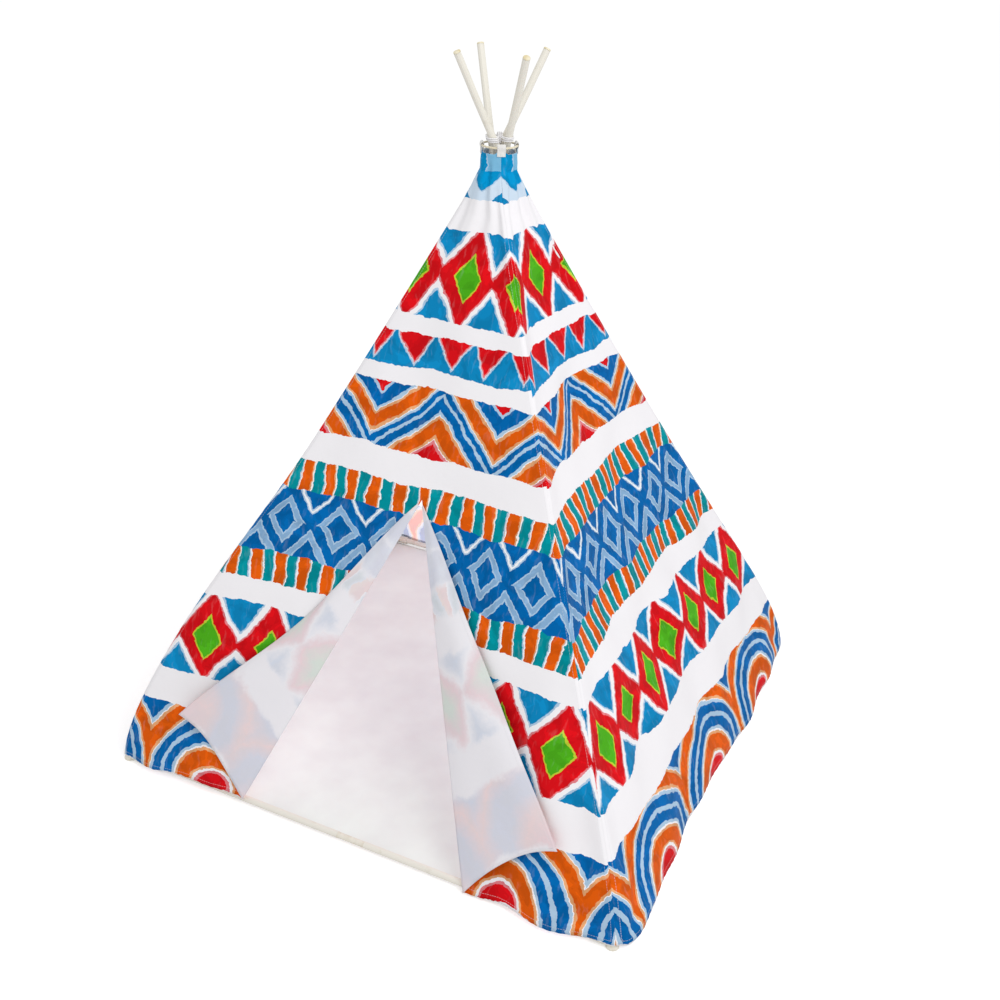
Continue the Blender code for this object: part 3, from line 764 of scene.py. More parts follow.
PRINT_FACE = PrintedPolyester("printed_polyester")
PRINT_REVERSE = PrintedPolyester("lit_reverse", strength=0.50, roughness=0.6, daylight=0.54)
FLAP_REVERSE = PrintedPolyester("pale_reverse", strength=0.19, ground="#eceaef", roughness=0.6, blurred=True,
                                edge_wander=26.0 * MM, edge_grain=9.0 * MM)
FLOOR_CLOTH = PlainPolyester("floor_polyester", colour="#f5faf5")
SLEEVE_CLOTH = PlainPolyester("sleeve_polyester", colour="#f0eff1")
TUBE_COAT = PaintedSteel("cream_coated_steel")
RING_COAT = PaintedSteel("coated_wire", colour="#e6dcc0", worn_colour="#c9bb96", roughness=0.34)
FITTING = MouldedNylon("moulded_nylon")
CAP = MouldedNylon("cap_nylon", colour="#f1e8cc", deep_colour="#e0cf9e")
TAPE = WovenTape("woven_tape")
CORD = TwistedCotton("twisted_cotton")


# The tent's form


CORNERS = {"front_right": (1, -1), "back_right": (1, 1), "back_left": (-1, 1), "front_left": (-1, -1)}
SIDES = {
    "front": ("front_left", "front_right"),
    "right": ("front_right", "back_right"),
    "back": ("back_right", "back_left"),
    "left": ("back_left", "front_left"),
}
OUTWARD = {"front": (0.0, -1.0), "right": (1.0, 0.0), "back": (0.0, 1.0), "left": (-1.0, 0.0)}


@dataclass(frozen=True)
class TentForm:
    """The sizes and formulas that the CAD and this file share."""

    base_width: float = 1.040
    hem_height: float = 0.012
    foot_height: float = 0.010
    crossing_height: float = 1.144
    ring_height: float = 1.160
    pole_length: float = 1.530
    bend_start: float = 1.057
    bend_end: float = 1.213
    upper_lean_share: float = 0.75
    crossing_offset: float = 0.0104
    tube_radius: float = 0.00635
    slip: float = 0.0003
    cover_wall: float = 0.0012
    sleeve_wall: float = 0.0008
    seam_ease: float = 0.0026
    ring_radius: float = 0.0310
    wire_radius: float = 0.0018
    corner_belly: float = 0.021
    corner_belly_height: float = 0.170
    panel_sag: float = 0.026
    hem_wave: float = 0.014
    hem_wave_height: float = 0.110
    neck_height: float = 0.038
    neck_blend_height: float = 0.080
    neck_softness: float = 0.003
    door_half_width: float = 0.234
    door_height: float = 0.578
    door_blend_height: float = 0.200

    @cached_property
    def door_top(self) -> float:
        """Height of the doorway's top."""
        return self.hem_height + self.door_height

    @cached_property
    def cover_top(self) -> float:
        """Height of the cover's upper edge, under the ring."""
        return self.ring_height - self.wire_radius - self.slip

    @cached_property
    def blend_foot(self) -> float:
        """Height from which the section turns from square to round."""
        return self.ring_height - self.neck_height - self.neck_blend_height

    @cached_property
    def reach_and_lean(self) -> tuple[float, float]:
        """Foot place and lean per axis, which settle each other by repetition."""
        layers = self.tube_radius + self.slip + self.sleeve_wall + self.slip + self.cover_wall
        reach = self.base_width / 2
        for _ in range(40):
            lean = reach / float(self.rise_to(self.crossing_height))
            reach = self.base_width / 2 - layers * math.hypot(1.0, lean) - self.seam_ease
        return reach, reach / float(self.rise_to(self.crossing_height))

    def rise_to(self, height: Array) -> Array:
        """Height above the foot, less a quarter of what is passed with the upper lean.

        Args:
            height: heights above the ground.

        Returns:
            Heights that the lean is multiplied by.
        """
        height = np.asarray(height, dtype=float)
        length = self.bend_end - self.bend_start
        inside = np.clip(height - self.bend_start, 0.0, length)
        excess = inside * inside / (2 * length) + np.maximum(height - self.bend_end, 0.0)
        return height - self.foot_height - (1 - self.upper_lean_share) * excess

    def turned(self, corner: str, level: Array, height: Array, share: Array) -> Array:
        """Level place of a corner: out along both axes, with a clockwise turn that grows evenly with height.

        Args:
            corner: name of the corner.
            level: distance along each axis.
            height: heights above the ground.
            share: how much of the turn it takes.

        Returns:
            Rows of level coordinates.
        """
        sx, sy = CORNERS[corner]
        twist = self.crossing_offset * (height - self.foot_height) / (self.crossing_height - self.foot_height)
        twist = twist / math.sqrt(2) * share
        return np.stack([sx * level + sy * twist, sy * level - sx * twist], axis=-1)

    def pole_point(self, corner: str, height: Array) -> Array:
        """Points on a pole's axis: lean inwards with height, and a small turn clockwise.

        Args:
            corner: name of the pole's corner.
            height: heights above the ground.

        Returns:
            Rows of coordinates.
        """
        reach, lean = self.reach_and_lean
        height = np.asarray(height, dtype=float)
        level = self.turned(corner, reach - lean * self.rise_to(height), height, 1.0)
        return np.concatenate([level, height[..., None]], axis=-1)

    def roundness(self, height: Array) -> Array:
        """How far the section has turned from a square to a circle."""
        return smooth((np.asarray(height, dtype=float) - self.blend_foot) / self.neck_blend_height)

    def side_reach(self, height: Array) -> Array:
        """Half width of the cover: the pole's place plus its layers, eased into the neck's radius.

        Args:
            height: heights above the ground.

        Returns:
            Half widths.
        """
        reach, lean = self.reach_and_lean
        level = reach - lean * self.rise_to(height) + self.base_width / 2 - reach
        neck = (self.ring_radius + self.cover_wall / 2) / math.sqrt(2)
        gap = (level - neck) / 2
        return neck + gap + np.hypot(gap, self.neck_softness * (1.0 - self.roundness(height)))

    def door_edge(self, height: Array) -> Array:
        """Half width of the doorway, falling evenly to nothing at its top."""
        share = (np.asarray(height, dtype=float) - self.hem_height) / self.door_height
        return self.door_half_width * np.clip(1.0 - share, 0.0, 1.0)

    def corner_point(self, corner: str, height: Array) -> Array:
        """Corner of the cover's outer section, with its belly near the ground.

        Args:
            corner: name of the corner.
            height: heights above the ground.

        Returns:
            Rows of level coordinates.
        """
        height = np.asarray(height, dtype=float)
        steps = np.maximum(height - self.hem_height, 0.0) / self.corner_belly_height
        belly = self.corner_belly * steps * np.exp(1.0 - steps)
        square = 1.0 - self.roundness(height)
        return self.turned(corner, self.side_reach(height) + belly * square, height, square)

    def panel_point(self, side: str, across: Array, height: Array) -> Array:
        """Outer face of a panel: a chord between two corners, or an arc at the neck, with sag and hem waves.

        Args:
            side: name of the side.
            across: place between the seams, from -1 to 1.
            height: heights above the ground.

        Returns:
            Rows of coordinates.
        """
        start, end = (self.corner_point(corner, height) for corner in SIDES[side])
        trim = (across + 1.0) / 2
        chord = start + (end - start) * trim[:, None]
        radius = np.linalg.norm(start, axis=-1)
        angle = np.arctan2(start[:, 1], start[:, 0]) + trim * math.pi / 2
        arc = np.stack([radius * np.cos(angle), radius * np.sin(angle)], axis=-1)
        around = self.roundness(height)[:, None]
        level = chord * (1.0 - around) + arc * around
        normal = np.array(OUTWARD[side])
        fall = np.exp(-(height - self.hem_height) / self.hem_wave_height)
        if side == "front":
            half, edge = self.side_reach(height), self.door_edge(height)
            shift = (start[:, 0] + end[:, 0]) / 2
            centred = level[:, 0] - shift
            beyond = np.clip((np.abs(centred) - edge) / (half - edge), 0.0, 1.0)
            level[:, 0] = centred + shift * smooth(beyond)
            zone = 1.0 - smooth((height - self.door_top) / self.door_blend_height)
            free = 1.0 - (1.0 - smooth(beyond)) * zone
            level[:, 1] = -half + (level[:, 1] + half) * free
            wave = np.sin(math.pi * beyond) ** 2
        else:
            wave = np.sin(math.pi * across) ** 2
            hang = (height - self.hem_height) / (self.cover_top - self.hem_height)
            sag = self.panel_sag * (1.0 - across ** 2) * np.sin(math.pi * hang)
            level = level - normal * sag[:, None]
        level = level + normal * (self.hem_wave * wave * fall)[:, None]
        return np.column_stack([level, height])

    def slant(self, height: Array) -> Array:
        """Distance up a side's middle line from the hem.

        Args:
            height: heights above the ground.

        Returns:
            Distances along the cloth.
        """
        marks = np.linspace(self.hem_height, self.cover_top, 400)
        reach = self.side_reach(marks)
        steps = np.hypot(np.diff(marks), np.diff(reach))
        return np.interp(height, marks, np.concatenate([[0.0], np.cumsum(steps)]))


FORM = TentForm()
# the collar is gathered a little askew round the poles
NECK_TURN = math.radians(-12.0)
# where the tuck under the collar lies, as a share of the half width
TUCKS = {"front": -0.52, "right": 0.44, "back": -0.52, "left": 0.44}
# bells of the hem as photographed: place along it, width, and reach outwards and upwards
HEM_BELLS = {
    "front": ((-0.345, 0.080, -0.010, 0.013), (-0.234, 0.050, 0.0, 0.004), (0.234, 0.055, 0.0, -0.009)),
    "right": ((-0.480, 0.045, 0.018, -0.002), (-0.370, 0.090, 0.012, 0.0), (0.080, 0.090, 0.010, 0.0)),
}


# Sub-assemblies


@dataclass
class Cover:
    """Four panels of printed cloth over the poles, the front one with the doorway."""

    corner_radius: float = 0.0125
    billow: float = 0.0022
    billows: int = 7
    billow_lengths: tuple[float, float] = (0.14, 0.34)
    neck_fold: float = 0.0030
    neck_folds: float = 3.0
    neck_fold_slant: float = 14.0
    neck_fold_depth: float = 0.11
    neck_droop: float = 0.0085
    droop_depth: float = 0.05
    neck_turn_height: float = 0.10
    seam_stand: float = 0.011
    stand_height: float = 0.33
    stand_reach: float = 0.32
    stand_width: float = 0.20
    tuck: float = 0.0040
    tuck_width: float = 0.0055
    corner_fold: float = 0.0022
    corner_folds: float = 8.0
    pucker: float = 0.0006
    hem_share: float = 0.8
    # lengths over which folds die out, at a seam or the doorway and under the collar
    edge_fade: float = 0.02
    collar_fade: float = 0.03
    # rows up to this far above the doorway still count as beside it
    door_margin: float = 0.01
    seam_pitch: float = 0.021
    hem_pitch: float = 0.019
    bell_height: float = 0.09
    rows_door: int = 72
    rows_upper: int = 52
    rows_neck: int = 36
    columns: int = 64
    seam_marks: tuple[float, ...] = (0.0, 1.6, 3.2, 4.9, 6.6, 8.4, 10.3, 12.4, 15.0, 19.0)

    def heights(self) -> Array:
        """Heights of the rows, closer at the neck."""
        return np.concatenate([
            np.linspace(FORM.hem_height, FORM.door_top, self.rows_door + 1),
            np.linspace(FORM.door_top, FORM.blend_foot, self.rows_upper + 1)[1:],
            np.linspace(FORM.blend_foot, FORM.cover_top, self.rows_neck + 1)[1:],
        ])

    def ripple(self, side: str, along: Array, seam: Array, door: Array, height: Array) -> Array:
        """How far the cloth stands out of the even surface.

        A sum of slow sine waves, folds that run down from the neck, a tuck under the collar, folds
        that fan out from the lower corners, and small puckers along the seams and the hem. All but
        the tuck vanish at the seams.

        Args:
            side: name of the side.
            along: distance from the panel's middle.
            seam: distance from the nearer seam.
            door: distance from the doorway's edge.
            height: heights above the ground.

        Returns:
            Distances outwards.
        """
        dice = np.random.default_rng(list(SIDES).index(side) + 11)
        held = smooth(seam / 0.07) * smooth((door + 0.004) / 0.09)
        slow = slow_waves(dice, along, height, self.billows, self.billow_lengths)
        slow = slow * self.billow * held * (1.0 - FORM.roundness(height))
        down = FORM.cover_top - height
        reach = FORM.side_reach(height)
        lobes = math.pi * (self.neck_folds * (along / reach) + dice.uniform(0, 2))
        lobes = lobes + self.neck_fold_slant * down
        neck = self.neck_fold * np.cos(lobes) * smooth(down / self.collar_fade)
        neck = neck * np.exp(-((down - self.neck_fold_depth) / self.neck_fold_depth) ** 2)
        neck = neck * smooth(seam / self.edge_fade)
        rise = np.maximum(height - FORM.hem_height, 0.0)
        far = np.hypot(seam, rise)
        fan = np.sin(self.corner_folds * np.arctan2(rise, seam + 1e-6)) * smooth(far / 0.06)
        fan = fan * (1.0 - smooth((far - 0.08) / 0.22)) * self.corner_fold * smooth(seam / 0.03)
        tight = np.exp(-seam / 0.012) * smooth(seam / 0.006) * np.sin(math.tau * height / self.seam_pitch)
        hemmed = np.exp(-rise / 0.010) * np.sin(math.tau * along / self.hem_pitch)
        hemmed = hemmed * smooth(seam / self.edge_fade)
        line = TUCKS[side] * reach
        fold = self.tuck * np.exp(-((along - line) / self.tuck_width) ** 2) * smooth(down / self.collar_fade)
        fold = fold * (1.0 - smooth((down - 0.05) / 0.16))
        puckers = self.pucker * (tight + self.hem_share * hemmed * smooth(door / self.edge_fade))
        return slow + neck + fan + fold + puckers

    def hem_set(self, side: str, along: Array, seam: Array, height: Array) -> tuple[Array, Array]:
        """How the hem is set as photographed: bells along the hem that fade with height.

        Args:
            side: name of the side.
            along: distance from the panel's middle.
            seam: distance from the nearer seam.
            height: heights above the ground.

        Returns:
            Distances outwards and upwards.
        """
        out, up = np.zeros_like(height), np.zeros_like(height)
        fall = np.exp(-(height - FORM.hem_height) / self.bell_height) * smooth(seam / self.edge_fade)
        for centre, width, outwards, upwards in HEM_BELLS.get(side, ()):
            bell = np.exp(-((along - centre) / width) ** 2) * fall
            out += outwards * bell
            up += upwards * bell
        return out, up

    def half(self, side: str, end: int) -> tuple[Array, Array, Array]:
        """One half of a panel, from its seam to its middle line or to the doorway's edge.

        The columns start at fixed distances from the seam, where the cloth bends round the pole's
        sleeve on an arc: a point at distance p moves to r(1 - cos a) along the chord and
        r(1 - sin a) inwards, with a running from 45 to 90 degrees.

        Args:
            side: name of the side.
            end: -1 for the half at the first corner, 1 for the other.

        Returns:
            Points, cloth coordinates and edge coordinates.
        """
        heights = self.heights()
        start, stop = (FORM.corner_point(corner, heights) for corner in SIDES[side])
        chord = np.linalg.norm(stop - start, axis=1)
        edge = FORM.door_edge(heights) if side == "front" else np.zeros_like(heights)
        width = chord / 2 - edge
        marks = np.array(self.seam_marks) * MM
        near = marks[None, :] * np.minimum(1.0, 0.5 * width / marks[-1])[:, None]
        share = np.linspace(0.0, 1.0, self.columns + 1)[1:]
        seam = np.hstack([near, near[:, -1:] + (width[:, None] - near[:, -1:]) * share[None, :]])
        count = seam.shape[1]
        z, length = np.repeat(heights, count), np.repeat(chord, count)
        p = seam.ravel()
        across = end * (1.0 - 2.0 * p / length)
        points = FORM.panel_point(side, across, z)
        radius = self.corner_radius * (1.0 - FORM.roundness(z))
        inside = p < radius
        angle = math.pi / 4 * (1.0 + np.where(inside, p / np.maximum(radius, 1e-9), 1.0))
        bent = np.where(inside, radius * (1.0 - np.cos(angle)) - p, 0.0)
        sunk = np.where(inside, radius * (1.0 - np.sin(angle)), 0.0)
        outward = np.array(OUTWARD[side])
        line = np.repeat((stop - start) / chord[:, None] * -end, count, axis=0)
        along = across * length / 2
        door = np.ones_like(p)
        if side == "front":
            beside = z < FORM.door_top + self.door_margin
            door = np.where(beside, np.abs(along) - np.repeat(edge, count), door)
        raised = self.ripple(side, along, p, np.maximum(door, 0.0), z)
        flare, lift = self.hem_set(side, along, p, z)
        points[:, :2] += line * bent[:, None] + outward * (raised - sunk + flare)[:, None]
        by_collar = smooth((z - FORM.cover_top + self.droop_depth) / self.droop_depth)
        points[:, 2] += lift - self.neck_droop * smooth(p / 0.012) * by_collar
        if SIDES[side][(end + 1) // 2] == "front_left":
            near_stand = smooth(1.0 - np.abs(z - self.stand_height) / self.stand_reach)
            points[:, :2] -= (self.seam_stand * smooth(1.0 - p / self.stand_width) * near_stand)[:, None]
        turn = NECK_TURN * smooth((z - FORM.blend_foot) / self.neck_turn_height)
        x, y = points[:, 0].copy(), points[:, 1].copy()
        points[:, 0] = x * np.cos(turn) - y * np.sin(turn)
        points[:, 1] = x * np.sin(turn) + y * np.cos(turn)
        rise = FORM.slant(z)
        by_seam = p < rise
        trim = np.column_stack([np.where(by_seam, p, rise), np.where(by_seam, rise, along)])
        arrays = points, np.column_stack([along, rise]), trim
        if end == 1:
            order = np.arange(len(p)).reshape(-1, count)[:, ::-1].ravel()
            arrays = tuple(array[order] for array in arrays)
        return arrays

    def build(self) -> dict[str, Object]:
        """Make the four panels, by side."""
        rows, columns = len(self.heights()), len(self.seam_marks) + self.columns
        grid = grid_faces(rows, columns)
        made = {}
        for side in SIDES:
            halves = [self.half(side, end) for end in (-1, 1)]
            points, cloth, trim = (np.vstack(arrays) for arrays in zip(*halves))
            points, faces, kept = weld(points, np.vstack([grid, grid + rows * columns]))
            made[side] = make_piece(
                f"cover_{side}", points, faces, {"cloth": cloth[kept], "edge": trim[kept]},
                [PRINT_FACE, PRINT_REVERSE], "tent", f"cover_panel_{side}")
            thicken(made[side], FORM.cover_wall)
        return made


@dataclass
class DoorFlaps:
    """The doorway's two flaps, folded back on the front panel."""

    wall: float = 0.0010
    fold_clearance: float = 0.0004
    margin: float = -0.0012
    fold_foot: tuple[float, float] = (0.004, -0.009)
    rest_angle: float = math.radians(10.0)
    top_gap: float = 0.012
    centre_gap: float = 0.0010
    drop: float = 0.005
    billow: float = 0.013
    sag_angle: float = math.radians(1.8)
    hem_lift: float = 0.017
    # for the left and the right flap, as photographed
    draw_in: tuple[float, float] = (0.023, 0.004)
    short: tuple[float, float] = (0.070, 0.0)
    ripple: float = 0.0028
    ripple_shares: tuple[float, float] = (1.6, 0.5)
    foot_inset: float = 0.004
    rows: int = 90
    columns: int = 44

    def surface(self, turn: int) -> tuple[Array, Array, Array]:
        """A flap's printed face where it lies at rest.

        In the hinge's frame the fold runs along Z and the cloth along X, s runs from the fold to the
        free edge and t from the foot to the top. The width falls evenly to the top, and the cloth
        bows out by s (1 - s) times a sine of t, with two slow ripples. Its weight turns the free part
        down about the top by the sag angle times s squared and lifts the middle of its lower edge.
        The free edge is shorter at its foot, and its middle is drawn in by the square of s sin(pi t).

        Args:
            turn: -1 for the left flap, 1 for the right one.

        Returns:
            Points, cloth coordinates and edge coordinates, row by row.
        """
        low, high = (-float(FORM.side_reach(z)) for z in (FORM.hem_height, FORM.door_top))
        slope = Vector((0.0, high - low, FORM.door_height)).normalized()
        outward = Vector((1, 0, 0)).cross(slope)
        lift = outward * (self.wall / 2 + self.fold_clearance)
        bottom = Vector((turn * FORM.door_half_width, low, FORM.hem_height)) + lift
        top = Vector((0.0, high, FORM.door_top)) + lift
        fold = (top - bottom).normalized()
        inward = (fold.cross(outward) * -turn).normalized()
        centre = Vector((0.0, low, FORM.hem_height)) + lift - slope * self.drop
        hinge = Matrix.Translation(bottom) @ Matrix((inward, fold.cross(inward), fold)).transposed().to_4x4()
        middle, apex = hinge.inverted() @ centre, hinge.inverted() @ top
        t, s = (a.ravel() for a in np.meshgrid(
            np.linspace(0, 1, self.rows + 1), np.linspace(0, 1, self.columns + 1), indexing="ij"))
        tall = apex.z - self.top_gap
        share = t * tall / apex.z
        free_x = middle.x * (1 - share) - self.centre_gap
        free_z = middle.z * (1 - share) + apex.z * share
        x = self.margin + (free_x - self.margin) * s
        z = t * tall + (free_z - t * tall) * s
        bow = self.billow * 4 * s * (1 - s) * np.sin(math.pi * (0.12 + 0.88 * t)) * (1 - t) ** 0.3
        wide, narrow = self.ripple_shares
        bow += self.ripple * np.sin(math.tau * (1.15 * s + 0.9 * t) + 0.6) * s * (1 - t) * wide
        bow += narrow * self.ripple * np.sin(math.tau * (2.6 * t - 0.8 * s) + 2.0) * s
        closed = np.column_stack([x, np.zeros_like(x), z, np.ones_like(x)]) @ np.array(hinge).T
        turned = self.sag_angle * s * s
        drawn_x = x * np.cos(turned) - (apex.z - z) * np.sin(turned)
        drawn_z = apex.z - (apex.z - z) * np.cos(turned) - x * np.sin(turned)
        side = (turn + 1) // 2
        lift = self.hem_lift * 4 * s * (1 - s) * (1 - t) ** 5
        drawn_z += lift + self.fold_foot[side] * (1 - s) ** 2 * (1 - t) ** 8
        drawn_x = drawn_x * (1 - self.short[side] * s * (1 - t))
        drawn_x -= self.draw_in[side] * (s * np.sin(math.pi * t)) ** 2
        swing = hinge @ Matrix.Rotation(turn * (math.pi - self.rest_angle), 4, "Z")
        opened = np.column_stack([drawn_x, -turn * bow, drawn_z, np.ones_like(x)]) @ np.array(swing).T
        above = closed[:, 2] - FORM.hem_height
        rise = np.hypot(above, closed[:, 1] - low) * np.sign(above)
        free = np.hypot(free_x - x, free_z - z)
        foot = t * tall + self.foot_inset
        trim = np.column_stack([np.minimum(free, foot), np.where(free < foot, z, x)])
        return opened[:, :3], np.column_stack([closed[:, 0], rise]), trim

    def build(self) -> dict[str, Object]:
        """Make both flaps, by name."""
        made = {}
        for name, turn in (("left", -1), ("right", 1)):
            points, cloth, trim = self.surface(turn)
            faces = grid_faces(self.rows + 1, self.columns + 1)[:, ::-turn]
            body = f"door_flap_{name}"
            made[name] = make_piece(f"flap_{name}", points, faces, {"cloth": cloth, "edge": trim},
                                    [PRINT_FACE, FLAP_REVERSE], body, body)
            thicken(made[name], self.wall, offset=0.0)
        return made


@dataclass
class FloorSheet:
    """Plain cloth that lies between the base bars."""

    wall: float = 0.0012
    pad_radius: float = 0.0118
    wrinkle: float = 0.0016
    wrinkles: int = 9
    wrinkle_lengths: tuple[float, float] = (0.09, 0.40)
    edge_fade: float = 0.05
    steps: int = 150

    def build(self) -> Object:
        """A square sheet with its corners cut off, in shallow wrinkles that die out at its edges.

        A square grid u, v is drawn in at the corners: where |u| + |v| passes the cut, both shrink to it.

        Returns:
            The sheet.
        """
        reach, _ = FORM.reach_and_lean
        half = reach - FORM.tube_radius - FORM.slip
        cut = 2 * reach - (self.pad_radius + FORM.slip) * math.sqrt(2) - half
        u, v = (a.ravel() for a in np.meshgrid(*[np.linspace(-half, half, self.steps + 1)] * 2))
        over = np.maximum(np.abs(u) + np.abs(v) - (half + cut), 0.0) / 2
        x, y = u - np.sign(u) * over, v - np.sign(v) * over
        waves = slow_waves(np.random.default_rng(5), x, y, self.wrinkles, self.wrinkle_lengths)
        edge = np.minimum(half - np.abs(x), half - np.abs(y))
        z = self.wall + self.wrinkle * (1.0 + np.tanh(waves / 2)) * smooth(edge / self.edge_fade)
        faces = grid_faces(self.steps + 1, self.steps + 1)
        piece = make_piece(
            "floor_cloth", np.column_stack([x, y, z]), faces, {"cloth": np.column_stack([u, v])},
            [FLOOR_CLOTH], "tent", "floor_sheet")
        thicken(piece, self.wall, inner=0)
        return piece


@dataclass
class Poles:
    """The sleeves of the four bent poles."""

    sleeve_start: float = 0.048
    sleeve_below_bend: float = 0.077
    slack: float = 0.00035
    snug: float = 0.0002
    gather: float = 0.02
    sides: int = 32
    rings: int = 260

    def sleeve(self, corner: str) -> Object:
        """A cloth tunnel round the pole: its radius wavers by slow sines and gathers at both ends.

        Args:
            corner: name of the pole's corner.

        Returns:
            The sleeve.
        """
        heights = np.linspace(FORM.foot_height, FORM.foot_height + FORM.pole_length, 1200)
        path = FORM.pole_point(corner, heights)
        top = float(np.interp(FORM.bend_start - self.sleeve_below_bend, path[:, 2], length_along(path)))
        line = sampled(path, np.linspace(self.sleeve_start, top, self.rings))
        s = np.linspace(0.0, top - self.sleeve_start, len(line))[:, None]
        a = circle(self.sides)[None, :]
        bore = FORM.tube_radius + FORM.slip
        loose = self.slack * (1 + np.sin(3 * a + 40 * s)) * (1 + np.sin(90 * s + 2 * a)) / 2
        loose = loose * smooth(s / self.gather) * smooth((s[-1] - s) / self.gather)
        radius = bore + FORM.sleeve_wall + loose - self.snug
        points = tube_points(line, radius, self.sides)
        faces = grid_faces(len(line), self.sides, around=True)
        cloth = grid_corners(np.linspace(0, math.tau * bore, self.sides + 1), s.ravel())
        piece = make_piece(f"sleeve_{corner}", points, faces, {"cloth": cloth}, [SLEEVE_CLOTH], "tent",
                           f"pole_sleeve_{corner}")
        thicken(piece, FORM.sleeve_wall, inner=0)
        return piece

    def build(self) -> dict[str, Object]:
        """Make the sleeves, by corner."""
        return {corner: self.sleeve(corner) for corner in CORNERS}


